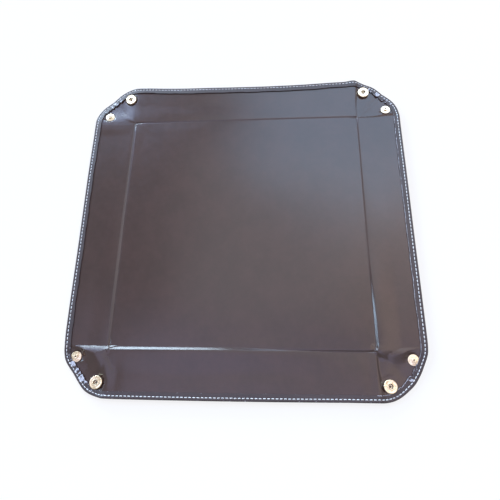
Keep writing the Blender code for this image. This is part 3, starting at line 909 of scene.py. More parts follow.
@dataclass(frozen=True)
class Layout:
    """The panels of the tray, with their rows and columns.

    Rows lie finely over the crease's outer side, and coarsely from there to the hem's zone.
    The hems are the walls' plain widths, which change to the corners' near a wall's ends.
    """

    pattern: Pattern
    zone: float = 8.0 * MM
    fine: float = 0.4 * MM
    fine_end: float = 5.0 * MM
    coarse_start: float = 5.2 * MM
    coarse_rows: int = 15
    groove_columns: int = 12
    tail_columns: int = 3
    strip_columns: int = 24
    wall_columns: int = 198
    hem_widths: tuple[float, ...] = (6.9 * MM, 5.7 * MM, 6.3 * MM, 6.5 * MM)
    corner_width: float = 6.1 * MM
    width_changes: Span = (70 * MM, 112 * MM)
    ragged: tuple[Wave, ...] = (Wave(0.16 * MM, 5.3 * MM, 0.0), Wave(0.1 * MM, 1.9 * MM, 1.0))
    ragged_fades: Span = (105 * MM, 112 * MM)
    # Each wall's hem is pale at its raw edge, listed back, left, front, right: partly wear, partly
    # painted light, highest on the right where the raw edge faces the lamps.
    frays_and_lit_edges: tuple[float, ...] = (0.0, 0.15, 0.35, 0.95)

    def inner_rows(self) -> Array:
        """Row shares from the crease out to the hem's zone, fine near the crease."""
        span = self.pattern.edge - self.pattern.crease - self.zone
        near = np.arange(0, self.fine_end, self.fine)
        return np.concatenate([near, rising(self.coarse_start, span, self.coarse_rows)]) / span - 1

    def groove_rows(self) -> Array:
        """Rows across the base's half of a crease, as (y) in the back wall's drawing."""
        return rising(self.pattern.join, self.pattern.crease, self.groove_columns)

    def columns(self, every: int = 1) -> Array:
        """The columns between the joins, or every second or third of them."""
        return rising(-self.pattern.join, self.pattern.join, self.wall_columns // every)

    def wall_runs(self, wall: Wall, every: int = 1) -> Array:
        """The columns of a wall, the same between the joins on all four."""
        runs = self.columns(every)
        if wall.has_sockets:
            return runs
        tail = rising(self.pattern.join, self.pattern.wall_end, self.tail_columns)[1:]
        return np.concatenate([-tail[::-1], runs, tail])

    def wall(self, wall: Wall, every: int = 1) -> Panel:
        """The columns of a wall, from its crease line to its edge."""
        pattern = self.pattern
        width = self.hem_widths[wall.value]

        def root(run: Array) -> Array:
            """The column's start on the crease."""
            return np.stack([run, np.full_like(run, pattern.crease)], -1)

        def hem(run: Array) -> Array:
            """The hem's width, a little ragged."""
            near_end = ramp(abs(run), *self.width_changes)
            ragged = sum(wave.at(run, 0) for wave in self.ragged)
            ragged = ragged * (1 - ramp(abs(run), *self.ragged_fades))
            return width + (self.corner_width - width) * near_end + ragged

        fray = self.frays_and_lit_edges[wall.value]
        return Panel(Place.of(wall), self.wall_runs(wall, every), root, hem, fray=fray)

    def wedge(self, corner: Corner, stud: bool, spacing: float) -> Panel:
        """The columns between a wall's end and the diagonal's strip.

        Args:
            corner: The corner.
            stud: Whether this is the stud's flap or the socket's.
            spacing: How far apart the columns are at the edge.

        Returns:
            Columns that fan out from one point on the crease.
        """
        pattern = self.pattern
        middle = pattern.middle_run
        if stud:
            start, end = middle + pattern.strip, 2 * middle - pattern.wall_end
            away = pattern.wall_end + ROOT2 * pattern.strip
            apex = np.array([away, pattern.wall_end])
        else:
            start, end = pattern.join, middle - pattern.strip
            apex = np.array([pattern.join, pattern.crease])
        runs = rising(start, end, round((end - start) / spacing))
        return self._corner_panel(corner, runs, lambda run: np.tile(apex, (len(run), 1)))

    def strip(self, corner: Corner) -> Panel:
        """The columns across the diagonal, where the two flaps bend against each other."""
        pattern = self.pattern
        across = rising(-pattern.strip, pattern.strip, self.strip_columns)
        runs = pattern.middle_run + across

        def root(run: Array) -> Array:
            """The column's start, round the base's corner and on to the stud wall's end."""
            across = (pattern.middle_run - run) * ROOT2
            x = np.where(across > 0, pattern.crease - across, pattern.crease)
            y = np.where(across > 0, pattern.crease, pattern.crease + across)
            low = y < pattern.wall_end
            x = np.where(low, pattern.wall_end - across, x)
            return np.stack([x, np.where(low, pattern.wall_end, y)], -1)

        return self._corner_panel(corner, runs, root)

    def _corner_panel(self, corner: Corner, runs: Array, root: Callable[[Array], Array]) -> Panel:
        """A panel of a corner, with that corner's gathers."""
        form = self.pattern.forms[list(Corner).index(corner)]
        hand = corner.value[0] * corner.value[1]

        def hem(run: Array) -> Array:
            """The hem's plain width."""
            return np.full_like(run, self.corner_width)

        pleats = Pleats.of(form)
        return Panel(Place.of(corner), runs, root, hem, pleats, hand, form.fray, form.rub)


class Sheet:
    """A leather sheet drawn by rows and columns over the pattern.

    Sub-classes say where a point of a column lies at rest. Rows are counted by a section
    value: -1 at the column's root, 0 where the hem's zone starts, and more beyond. Normals
    come from small steps: the step is a length, and the tiny one a part of a section.
    """

    step: float = 0.02 * MM
    tiny: float = 1e-4

    def __init__(self, layout: Layout, thickness: float, upward: float) -> None:
        """Takes the tray's layout.

        Args:
            layout: The panels.
            thickness: The leather's thickness.
            upward: 1 where the drawn side looks up over the panels, -1 where it looks down.
        """
        self.layout = layout
        self.pattern = layout.pattern
        self.thickness = thickness
        self.upward = upward

    def rest(self, panel: Panel, run: Array, section: Array) -> Array:
        """Points at rest for columns at run and rows at section."""
        raise NotImplementedError

    def surface(self, flat: Array) -> Array:
        """Points at rest of the plain part, for (x, y) rows of the pattern."""
        raise NotImplementedError

    def marks(self, panel: Panel, run: Array, section: Array) -> dict[str, Array]:
        """More numbers per point that the finish reads."""
        return {}

    def field_normals(self, flat: Array) -> Array:
        """Normals of the plain part over (x, y) rows."""
        ways = []
        for axis in (0, 1):
            ahead, behind = flat.copy(), flat.copy()
            ahead[:, axis] += self.step
            behind[:, axis] -= self.step
            ways.append(self.surface(ahead) - self.surface(behind))
        return unit(np.cross(*ways)) * self.upward

    def normals(self, panel: Panel, run: Array, section: Array) -> Array:
        """The drawn side's normals, from small steps along the columns and across them."""
        along = self.rest(panel, run + self.step, section)
        along = along - self.rest(panel, run - self.step, section)
        out = self.rest(panel, run, section + self.tiny)
        out = out - self.rest(panel, run, section - self.tiny)
        return unit(np.cross(along, out)) * self.upward * panel.hand

    def patch(self, panel: Panel, sections: Array) -> bpy.types.Object:
        """The panel's piece of this sheet, with its exact normals stored."""
        run, section = np.meshgrid(panel.runs, sections)
        shape = run.shape
        run, section = run.ravel(), section.ravel()
        grid = Grid(self.rest(panel, run, section).reshape(*shape, 3))
        grid.store(NORMAL, self.normals(panel, run, section).reshape(*shape, 3))
        for name, values in self.marks(panel, run, section).items():
            grid.store(name, values.reshape(shape))
        return grid.item

    def field(self, place: Place, across: Array, out: Array) -> bpy.types.Object:
        """A patch over straight rows and columns of the pattern."""
        x, y = np.meshgrid(across, out)
        flat = place.put(np.column_stack([x.ravel(), y.ravel()]))
        grid = Grid(self.surface(flat).reshape(*x.shape, 3))
        grid.store(NORMAL, self.field_normals(flat).reshape(*x.shape, 3))
        return grid.item

    def finished(
        self, name: str, parts: Sequence[bpy.types.Object], *materials: bpy.types.Material
    ) -> bpy.types.Object:
        """Joins patches, gives the sheet its thickness and keeps its exact normals.

        Args:
            name: The sheet's name.
            parts: Its patches.
            materials: The leather's finish and that of its cut edges.

        Returns:
            The sheet.
        """
        item = Bench.joined(name, parts)
        Bench.merged(item)
        self._face(item)
        for material in materials:
            item.data.materials.append(material)
        Bench.apply(
            item, "SOLIDIFY", thickness=self.thickness, offset=-1.0,
            use_even_offset=False, material_offset_rim=1,
        )
        Bench.smooth(item)
        self._keep_normals(item)
        return item

    @staticmethod
    def _stored(item: bpy.types.Object) -> Array:
        """The stored normals per vertex."""
        found = np.empty(len(item.data.vertices) * 3, np.float32)
        item.data.attributes[NORMAL].data.foreach_get("vector", found)
        return found.reshape(-1, 3)

    @staticmethod
    def _corners(mesh: bpy.types.Mesh) -> tuple[Array, Array, Array]:
        """Per face corner its vertex and face, and per face its normal."""
        facing = np.empty(len(mesh.polygons) * 3, np.float32)
        mesh.polygons.foreach_get("normal", facing)
        totals = np.empty(len(mesh.polygons), np.int32)
        mesh.polygons.foreach_get("loop_total", totals)
        vertex = np.empty(len(mesh.loops), np.int32)
        mesh.loops.foreach_get("vertex_index", vertex)
        return vertex, np.repeat(np.arange(len(totals)), totals), facing.reshape(-1, 3)

    def _agreement(self, item: bpy.types.Object) -> tuple[Array, Array, Array, Array]:
        """How well each face looks the stored way, with the arrays of _corners."""
        vertex, owner, facing = self._corners(item.data)
        agree = np.einsum("ij,ij->i", facing[owner], self._stored(item)[vertex])
        side = np.bincount(owner, agree) / np.bincount(owner)
        return side, vertex, owner, facing

    def _face(self, item: bpy.types.Object) -> None:
        """Turns the faces that look against the stored normals."""
        side = self._agreement(item)[0]
        shape = bmesh.new()
        shape.from_mesh(item.data)
        shape.faces.ensure_lookup_table()
        bmesh.ops.reverse_faces(shape, faces=[shape.faces[i] for i in np.flatnonzero(side < 0)])
        shape.to_mesh(item.data)
        shape.free()

    def _keep_normals(self, item: bpy.types.Object) -> None:
        """Sets the stored normals on the drawn side, and flat ones on the cut faces."""
        side, vertex, owner, facing = self._agreement(item)
        drawn, cut = side > 0.5, abs(side) <= 0.5
        custom = np.where(drawn[owner, None], self._stored(item)[vertex], 0)
        custom = np.where(cut[owner, None], facing[owner], custom)
        item.data.normals_split_custom_set(custom.tolist())
        item.data.attributes.remove(item.data.attributes[NORMAL])


class Lining(Sheet):
    """The inner leather, seen from above inside the hem."""

    gauge: float = 0.62 * MM
    under_hem: float = 2.0 * MM
    hem_rows: int = 4

    def __init__(self, layout: Layout) -> None:
        """Takes the tray's layout."""
        super().__init__(layout, self.gauge, 1.0)

    def surface(self, flat: Array) -> Array:
        """Points of the lining's top."""
        height = self.pattern.lining_height(flat[:, 0], flat[:, 1])
        height = height + self.pattern.swell(flat[:, 0], flat[:, 1])
        return self.pattern.at_rest(np.column_stack([flat, height]))

    def _flat(self, panel: Panel, run: Array, section: Array) -> Array:
        """The pattern's (x, y) for columns and rows."""
        zone = self.layout.zone
        inward = zone - np.clip(section, 0, 1) * (zone - self.under_hem)
        return panel.flat(self.pattern, run, inward, np.clip(-section, 0, 1))

    def rest(self, panel: Panel, run: Array, section: Array) -> Array:
        """Points of the lining's top."""
        return self.surface(self._flat(panel, run, section))

    def normals(self, panel: Panel, run: Array, section: Array) -> Array:
        """The top's normals, which depend on the place in the pattern alone."""
        return self.field_normals(self._flat(panel, run, section))

    def rows(self) -> Array:
        """The section values of the rows."""
        return np.concatenate([self.layout.inner_rows()[:-1], rising(0, 1, self.hem_rows)])


class Stretch(IntEnum):
    """The section values at which the stretches of the outer leather's way round end."""

    UNDERSIDE = 1
    LOWER_ROUND = 2
    SIDE = 3
    UPPER_ROUND = 4
    HEM = 5


class OuterLeather(Sheet):
    """The outer leather: flat underneath, turned over the edge and sewn down on top.

    Along the creases the underside is tucked up a little. The hem is drawn down along the
    seam and puffs up outside it, and its gathers start a little inside the turned edge.
    """

    gauge: float = 0.85 * MM
    tuck_depth: float = 0.35 * MM
    tuck_width: float = 1.2 * MM
    tuck_fades: Span = (104 * MM, 113 * MM)
    seam: float = 2.6 * MM
    seam_width: float = 0.6 * MM
    seam_depth: float = 0.12 * MM
    puff: float = 0.12 * MM
    puff_width: float = 2.4 * MM
    gather_start: float = 0.8 * MM
    gather_power: float = 0.9
    gather_full: float = 0.5 * MM
    edge_wear: float = 0.35
    edge_wear_at: float = 3.2
    edge_wear_width: float = 0.9
    fray_starts: Span = (4.88, 4.99)
    ridge_worn: Span = (0.25, 1.0)
    ridge_rows: Span = (0.0, 0.35)
    rub_rows: Span = (0.0, 0.3)
    rub_all_over: float = 0.3
    steps: tuple[int, ...] = (3, 4, 2, 5, 12)

    def __init__(self, layout: Layout) -> None:
        """Takes the tray's layout."""
        super().__init__(layout, self.gauge, -1.0)

    def surface(self, flat: Array) -> Array:
        """Points of the underside, drawn in a little along the creases."""
        return self._laid(flat, self.tuck(flat))

    def tuck(self, flat: Array) -> Array:
        """How far the underside is drawn in along the creases."""
        ax, ay = abs(flat[:, 0]), abs(flat[:, 1])
        line = hump(np.maximum(ax, ay) - self.pattern.crease, self.tuck_width)
        return self.tuck_depth * line * (1 - ramp(np.minimum(ax, ay), *self.tuck_fades))

    def _laid(self, flat: Array, height: Array) -> Array:
        """Points at rest over (x, y) rows, with none under the table's top."""
        points = self.pattern.at_rest(np.column_stack([flat, height]))
        points[:, 2] = np.maximum(points[:, 2], 0)
        return points

    def _gathers(self, panel: Panel, run: Array) -> tuple[Array, Array]:
        """Height and reach of the panel's gathers, or none."""
        if not panel.pleats:
            return np.zeros_like(run), np.zeros_like(run)
        return panel.pleats.shape(run - self.pattern.middle_run)

    def hem_end(self, panel: Panel, run: Array) -> Array:
        """How far in from the edge the hem's raw edge lies."""
        return panel.hem(run) + self._gathers(panel, run)[1]

    def hem_top(self, panel: Panel, run: Array, inward: Array) -> Array:
        """The hem's top above the table, before folding."""
        flat = panel.flat(self.pattern, run, inward, np.zeros_like(run))
        top = self.pattern.lining_height(flat[:, 0], flat[:, 1]) + self.pattern.hem_rise
        top = top - self.seam_depth * hump(inward - self.seam, self.seam_width)
        top = top + self.puff * np.sin(np.clip(inward / self.puff_width, 0, 1) * math.pi)
        span = np.maximum(self.hem_end(panel, run) - self.gather_start, self.step)
        share = np.clip((inward - self.gather_start) / span, 0, 1)
        return top + self._gathers(panel, run)[0] * share**self.gather_power

    def rest(self, panel: Panel, run: Array, section: Array) -> Array:
        """Points of the outer side, from the crease underneath round the edge to the hem."""
        turn, zone = self.pattern.hem_round, self.layout.zone
        lower = np.clip(section - Stretch.UNDERSIDE, 0, 1) * math.pi / 2
        upper = np.clip(section - Stretch.SIDE, 0, 1) * math.pi / 2
        inside = [section <= stretch for stretch in Stretch if stretch < Stretch.HEM]
        on_top = (section - Stretch.UPPER_ROUND) * (self.hem_end(panel, run) - turn)
        inward = np.select(inside, [
            zone - np.clip(section, 0, 1) * (zone - turn),
            turn * (1 - np.sin(lower)),
            np.zeros_like(run),
            turn * (1 - np.cos(upper)),
        ], turn + on_top)
        flat = panel.flat(self.pattern, run, inward, np.clip(-section, 0, 1))
        top = self.hem_top(panel, run, inward)
        side = np.clip(section - Stretch.LOWER_ROUND, 0, 1)
        rise = np.select(inside[:Stretch.SIDE], [
            self.tuck(flat),
            turn * (1 - np.cos(lower)),
            turn + side * (top - 2 * turn),
        ], top - turn * (1 - np.sin(upper)))
        return self._laid(flat, rise)

    def normals(self, panel: Panel, run: Array, section: Array) -> Array:
        """The outer side's normals; the plain underside's depend on the place alone."""
        turned = super().normals(panel, run, section)
        inward = np.full_like(run, self.layout.zone)
        flat = panel.flat(self.pattern, run, inward, np.clip(-section, 0, 1))
        return np.where((section <= 0)[:, None], self.field_normals(flat), turned)

    def marks(self, panel: Panel, run: Array, section: Array) -> dict[str, Array]:
        """Pale marks: wear on the turned edge, wear with painted light at the hem's raw edge, and
        wear with a painted highlight on the gathers' ridges.
        """
        wear = self.edge_wear * hump(section - self.edge_wear_at, self.edge_wear_width)
        # Near the hem's raw edge the mark is partly wear and partly painted light where that edge
        # faces the lamps.
        wear = np.maximum(wear, panel.fray * ramp(section, *self.fray_starts))
        top = np.clip(section - Stretch.UPPER_ROUND, 0, 1)
        height, _ = self._gathers(panel, run)
        ridge = ramp(height / self.gather_full, *self.ridge_worn) * ramp(top, *self.ridge_rows)
        # The hem's top and the gathers' ridges are painted pale: partly rubbed, partly a painted
        # highlight of the cool lamps on the pleats.
        rubbed_and_glinting = self.rub_all_over * ramp(top, *self.rub_rows)
        rubbed_and_glinting = rubbed_and_glinting + (1 - self.rub_all_over) * ridge
        return {"wear": np.maximum(wear, panel.rub * rubbed_and_glinting)}

    def rows(self) -> Array:
        """The section values of the rows."""
        stretches = [rising(end - 1, end, count) for end, count in zip(Stretch, self.steps)]
        inner = [rows[:-1] for rows in (self.layout.inner_rows(), *stretches[:-1])]
        return np.concatenate([*inner, stretches[-1]])


class Signal:
    """An output of a shader node, with which a material's values are reckoned."""

    def __init__(self, nodes: "NodeBoard", socket: bpy.types.NodeSocket) -> None:
        """Takes the board that the node is on, and its output."""
        self.nodes = nodes
        self.socket = socket

    def _math(self, operation: str, *values: "Signal | float", clamp: bool = False) -> "Signal":
        """The output of a new Math node."""
        settings = {"operation": operation, "use_clamp": clamp}
        return self.nodes.add("ShaderNodeMath", settings, dict(enumerate(values)))

    def __add__(self, other: "Signal | float") -> "Signal":
        """This plus another."""
        return self._math("ADD", self, other)

    def __radd__(self, other: float) -> "Signal":
        """A number plus this."""
        return self._math("ADD", other, self)

    def __sub__(self, other: "Signal | float") -> "Signal":
        """This minus another."""
        return self._math("SUBTRACT", self, other)

    def __rsub__(self, other: float) -> "Signal":
        """A number minus this."""
        return self._math("SUBTRACT", other, self)

    def __mul__(self, other: "Signal | float") -> "Signal":
        """This times another."""
        return self._math("MULTIPLY", self, other)

    def clamped(self) -> "Signal":
        """This kept between 0 and 1."""
        return self._math("ADD", self, 0.0, clamp=True)

    def greatest(self, other: "Signal | float") -> "Signal":
        """The greater of this and another."""
        return self._math("MAXIMUM", self, other)

    def step(self, low: float, high: float) -> "Signal":
        """A smooth step from 0 at low to 1 at high."""
        settings = {"interpolation_type": "SMOOTHSTEP"}
        inputs = {"Value": self, "From Min": low, "From Max": high}
        return self.nodes.add("ShaderNodeMapRange", settings, inputs)


class NodeBoard:
    """A material's or the world's nodes, made by one method."""

    def __init__(self, owner: bpy.types.Material | bpy.types.World) -> None:
        """Clears the owner's nodes."""
        owner.use_nodes = True
        self.owner = owner
        self.tree = owner.node_tree
        self.tree.nodes.clear()

    @classmethod
    def material(cls, name: str) -> "NodeBoard":
        """The empty board of a new material."""
        return cls(bpy.data.materials.new(name))

    def add(
        self,
        kind: str,
        settings: dict[str, object] | None = None,
        inputs: dict[str | int, object] | None = None,
        output: str | int = 0,
    ) -> Signal:
        """Adds a node.

        Args:
            kind: The node's type.
            settings: Its settings, which are set first.
            inputs: Values or signals of its sockets, by name or number.
            output: The output that is returned.

        Returns:
            The node's output.
        """
        node = self.tree.nodes.new(kind)
        for name, value in (settings or {}).items():
            setattr(node, name, value)
        for name, value in (inputs or {}).items():
            if isinstance(value, Signal):
                self.tree.links.new(value.socket, node.inputs[name])
            else:
                node.inputs[name].default_value = value
        return Signal(self, node.outputs[output] if len(node.outputs) else None)

    def place(self) -> Signal:
        """Object coordinates."""
        return self.add("ShaderNodeTexCoord", output="Object")

    def noise(self, place: Signal, size: float, detail: float = 2.0) -> Signal:
        """Noise whose spots are about this size."""
        inputs = {"Vector": place, "Scale": 1 / size, "Detail": detail}
        return self.add("ShaderNodeTexNoise", {}, inputs, "Fac")

    def mixed(self, share: Signal | float, low: object, high: object) -> Signal:
        """A colour between two."""
        node = {"data_type": "RGBA"}
        inputs = {0: share, 6: low, 7: high}
        return self.add("ShaderNodeMix", node, inputs, 2)

    def principled(
        self, colour: Signal, roughness: Signal, bumps: Signal, depth: float, **more: float
    ) -> bpy.types.Material:
        """Ends a material with a Principled shader.

        Args:
            colour: Its base colour.
            roughness: Its roughness, which is kept between 0 and 1.
            bumps: The height of its bumps, between 0 and 1.
            depth: The bumps' depth.
            more: Constants for more sockets, with _ for a space in their names.

        Returns:
            The material.
        """
        bump = {"Height": bumps, "Distance": depth, "Strength": 1.0}
        inputs = {
            "Base Color": colour,
            "Roughness": roughness.clamped(),
            "Normal": self.add("ShaderNodeBump", {}, bump),
        }
        inputs.update({name.replace("_", " "): value for name, value in more.items()})
        return self.surface(self.add("ShaderNodeBsdfPrincipled", {}, inputs))

    def surface(self, shader: Signal) -> bpy.types.Material:
        """Ends the material with this shader."""
        self.add("ShaderNodeOutputMaterial", {}, {"Surface": shader})
        return self.owner


def rgba(colour: Colour, gain: float = 1.0) -> tuple[float, float, float, float]:
    """A colour with its strength, as the nodes take it."""
    return tuple(part * gain for part in colour) + (1.0,)


@dataclass(frozen=True)
class LeatherFinish:
    """Smooth grained leather with a soft polish.

    Its grain is cells between fine creases, with pores. Its tone is mottled in large clouds
    and small patches. Where it is marked it is pale and speckled: the marks are wear, and on
    the outer leather also painted light at the hem's raw edges and painted highlights on its
    gathers.

    Args:
        name: The material's name.
        colour: Its colour.
        worn: The pale colour of its marks: rubbed edges, and painted light and painted
        highlights of the lamps.
        pebble: The size of the grain's cells.
        depth: How deep the grain is.
        roughness: How dull it is.
        polish: Its specular level.
    """

    name: str
    colour: Colour
    worn: Colour
    pebble: float
    depth: float
    roughness: float
    polish: float
    crease_width: float = 0.22
    crease_share: float = 0.22
    crease_gain: float = 0.45
    crease_dulls: float = 0.06
    cell_height: float = 0.6
    pore_share: float = 0.35
    cloud: float = 26 * MM
    cloud_share: float = 0.7
    patch: float = 5 * MM
    patch_dulls: float = 0.1
    tones: Span = (0.3, 0.7)
    mottle: float = 0.14
    speck: float = 2.2 * MM
    speck_gain: float = 2.2
    pale_mark_steps: Span = (0.5, 0.85)
    wear_shows: Span = (0.05, 0.3)

    def make(self) -> bpy.types.Material:
        """The material."""
        nodes = NodeBoard.material(self.name)
        place = nodes.place()
        sway = {"Vector": place, "Scale": 1 / (3 * self.pebble)}
        sway = nodes.add("ShaderNodeTexNoise", {}, sway, "Color")
        warp = nodes.add(
            "ShaderNodeVectorMath", {"operation": "MULTIPLY_ADD"},
            {0: sway, 1: (self.pebble,) * 3, 2: place},
        )
        cells = nodes.add(
            "ShaderNodeTexVoronoi", {"feature": "DISTANCE_TO_EDGE"},
            {"Vector": warp, "Scale": 1 / self.pebble}, "Distance",
        ).step(0.0, self.crease_width)
        pores = nodes.noise(place, self.pore_share * self.pebble, 3.0)
        cloud = nodes.noise(place, self.cloud, 3.0)
        patch = nodes.noise(place, self.patch, 4.0)
        tone = cloud * self.cloud_share + patch * (1 - self.cloud_share)
        dark, light = rgba(self.colour, 1 - self.mottle), rgba(self.colour, 1 + self.mottle)
        skin = nodes.mixed(tone.step(*self.tones), dark, light)
        between = rgba(self.colour, self.crease_gain)
        lined = nodes.mixed((1 - cells) * self.crease_share, skin, between)
        # The stored pale marks: wear, and painted light and painted highlights on the hem's raw
        # edges and gathers.
        wear = nodes.add("ShaderNodeAttribute", {"attribute_name": "wear"}, {}, "Fac")
        speck = nodes.noise(place, self.speck, 5.0)
        rubbed_and_glinting = (wear + (speck - 0.5) * self.speck_gain).step(*self.pale_mark_steps)
        rubbed_and_glinting = rubbed_and_glinting * wear.step(*self.wear_shows)
        return nodes.principled(
            nodes.mixed(rubbed_and_glinting, lined, rgba(self.worn)),
            self.roughness + (patch - 0.5) * self.patch_dulls + (1 - cells) * self.crease_dulls,
            cells * self.cell_height + pores * (1 - self.cell_height), self.depth,
            Specular_IOR_Level=self.polish,
        )


@dataclass(frozen=True)
class FibreFinish:
    """A matt fibrous surface: the leather's cut edge, thread or greyboard.

    Args:
        name: The material's name.
        dark: The colour between the fibres.
        light: The colour of the fibres.
        fibre: The size of the fibres.
        depth: How deep they stand.
        polish: Its specular level.
    """

    name: str
    dark: Colour
    light: Colour
    fibre: float
    depth: float
    polish: float = 0.25
    roughness: float = 0.75
    fuzz_dulls: float = 0.2
    fuzz_share: float = 0.7
    spot_in_fibres: float = 9.0
    tones: Span = (0.32, 0.68)

    def make(self) -> bpy.types.Material:
        """The material."""
        nodes = NodeBoard.material(self.name)
        place = nodes.place()
        fuzz = nodes.noise(place, self.fibre, 4.0)
        spots = nodes.noise(place, self.spot_in_fibres * self.fibre, 3.0)
        share = fuzz * self.fuzz_share + spots * (1 - self.fuzz_share)
        return nodes.principled(
            nodes.mixed(share.step(*self.tones), rgba(self.dark), rgba(self.light)),
            self.roughness + fuzz * self.fuzz_dulls, fuzz, self.depth,
            Specular_IOR_Level=self.polish,
        )


@dataclass(frozen=True)
class MetalFinish:
    """Plated metal with fine scratches, darkened in spots and here and there at large.

    Args:
        name: The material's name.
        colour: Its colour.
        tarnish: Its colour where it has darkened.
        roughness: How dull it is.
    """

    name: str
    colour: Colour
    tarnish: Colour
    roughness: float
    spot: float = 1.6 * MM
    spot_tones: Span = (0.42, 0.68)
    spot_share: float = 0.7
    spot_dulls: float = 0.2
    scratch: float = 0.12 * MM
    scratch_depth: float = 0.004 * MM
    ageing: float = 50 * MM
    ageing_tones: Span = (0.42, 0.62)

    def make(self) -> bpy.types.Material:
        """The material."""
        nodes = NodeBoard.material(self.name)
        place = nodes.place()
        spots = nodes.noise(place, self.spot, 4.0)
        aged = nodes.noise(place, self.ageing, 1.0).step(*self.ageing_tones)
        share = spots.step(*self.spot_tones) * self.spot_share + aged * (1 - self.spot_share)
        return nodes.principled(
            nodes.mixed(share.clamped(), rgba(self.colour), rgba(self.tarnish)),
            self.roughness + (spots - 0.5) * self.spot_dulls,
            nodes.noise(place, self.scratch), self.scratch_depth, Metallic=1.0,
        )


@dataclass(frozen=True)
class Finishes:
    """All finishes of the tray."""

    lining: bpy.types.Material
    outer: bpy.types.Material
    cut: bpy.types.Material
    thread: bpy.types.Material
    brass: bpy.types.Material
    steel: bpy.types.Material
    board: bpy.types.Material

    @classmethod
    def mixed_up(cls) -> "Finishes":
        """Makes every material."""
        return cls(
            LeatherFinish(
                "lining_leather", (0.036, 0.0150, 0.0130), (0.14, 0.11, 0.11),
                pebble=0.75 * MM, depth=0.016 * MM, roughness=0.18, polish=0.46,
            ).make(),
            LeatherFinish(
                # The outer leather's pale bluish mark colour is partly wear and partly a painted
                # reflection of the cool lamps.
                "outer_leather", (0.034, 0.022, 0.024), (0.50, 0.49, 0.54),
                pebble=0.70 * MM, depth=0.024 * MM, roughness=0.38, polish=0.40,
            ).make(),
            FibreFinish(
                "cut_leather", (0.055, 0.042, 0.042), (0.20, 0.165, 0.16),
                fibre=0.22 * MM, depth=0.06 * MM,
            ).make(),
            FibreFinish(
                "sewing_thread", (0.62, 0.60, 0.58), (0.88, 0.86, 0.84),
                fibre=0.14 * MM, depth=0.05 * MM,
            ).make(),
            MetalFinish("pale_brass", (0.68, 0.58, 0.43), (0.34, 0.25, 0.16), 0.30).make(),
            MetalFinish("spring_steel", (0.56, 0.55, 0.53), (0.30, 0.28, 0.26), 0.32).make(),
            FibreFinish(
                "greyboard", (0.20, 0.19, 0.17), (0.34, 0.33, 0.30),
                fibre=0.5 * MM, depth=0.05 * MM,
            ).make(),
        )


@dataclass
class LeatherWork:
    """One leather of the tray in its panels, one for each of the frame's bodies; only the base's
    panel is attached to its body.

    Args:
        sheet: The leather's shape.
        kind: The word for it in the names of the frame's nodes.
        slot: Not used.
        finish: Its material.
        cut: The material of its cut edges.
        every: How many of the wall's columns one of its own stands for.
        spacing: How far apart its columns are at the corners.
    """

    sheet: Sheet
    kind: str
    slot: str
    finish: bpy.types.Material
    cut: bpy.types.Material
    every: int
    spacing: float

    def build(self) -> None:
        """Makes the base, the walls and the corners."""
        self._base()
        for wall in Wall:
            self._wall(wall)
        for corner in Corner:
            self._socket_flap(corner)
            self._stud_flap(corner)

    def _done(self, name: str, node: str, parts: Sequence[bpy.types.Object]) -> bpy.types.Object:
        """Finishes a piece and puts it in its node's stead."""
        item = self.sheet.finished(name, parts, self.finish, self.cut)
        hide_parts(node)
        log.info("%s: %d faces", name, len(item.data.polygons))
        return item

    def _base(self) -> None:
        """The base's piece, with its four corners."""
        sheet = self.sheet
        columns, square = sheet.layout.columns(self.every), sheet.layout.groove_rows()
        parts = [sheet.field(Place.of(Wall.BACK), columns, columns)]
        parts += [sheet.field(Place.of(corner), square, square) for corner in Corner]
        item = self._done(f"base_{self.kind}_sheet", f"base_{self.kind}", parts)
        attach(item, "base")

    def _wall(self, wall: Wall) -> None:
        """A wall's piece, from the base's half of the crease to the edge."""
        sheet, pattern, layout = self.sheet, self.sheet.pattern, self.sheet.layout
        parts = [
            sheet.field(Place.of(wall), layout.columns(self.every), layout.groove_rows()),
            sheet.patch(layout.wall(wall, self.every), sheet.rows()),
        ]
        body = f"wall_{wall.label}"
        item = self._done(f"{body}_{self.kind}_sheet", f"{body}_{self.kind}", parts)
        bend = np.array([[0, pattern.crease - pattern.bend], [0, pattern.crease + pattern.bend]])
        start, end = Place.of(wall).put(bend)
        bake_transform(item)

    def _socket_flap(self, corner: Corner) -> None:
        """The half of a corner that carries the socket."""
        sheet = self.sheet
        panel = sheet.layout.wedge(corner, False, self.spacing)
        item = self._done(
            f"socket_flap_{self.kind}_sheet_{corner.label}",
            f"socket_flap_{self.kind}_{corner.label}",
            [sheet.patch(panel, sheet.rows())],
        )
        wall, start, end = sheet.pattern.socket_bend(corner)
        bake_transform(item)

    def _stud_flap(self, corner: Corner) -> None:
        """The half of a corner that carries the stud, with the bend along the diagonal."""
        sheet, layout = self.sheet, self.sheet.layout
        panels = layout.strip(corner), layout.wedge(corner, True, self.spacing)
        item = self._done(
            f"stud_flap_{self.kind}_sheet_{corner.label}",
            f"stud_flap_{self.kind}_{corner.label}",
            [sheet.patch(panel, sheet.rows()) for panel in panels],
        )
        start, end = sheet.pattern.stud_bend(corner)
        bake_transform(item)


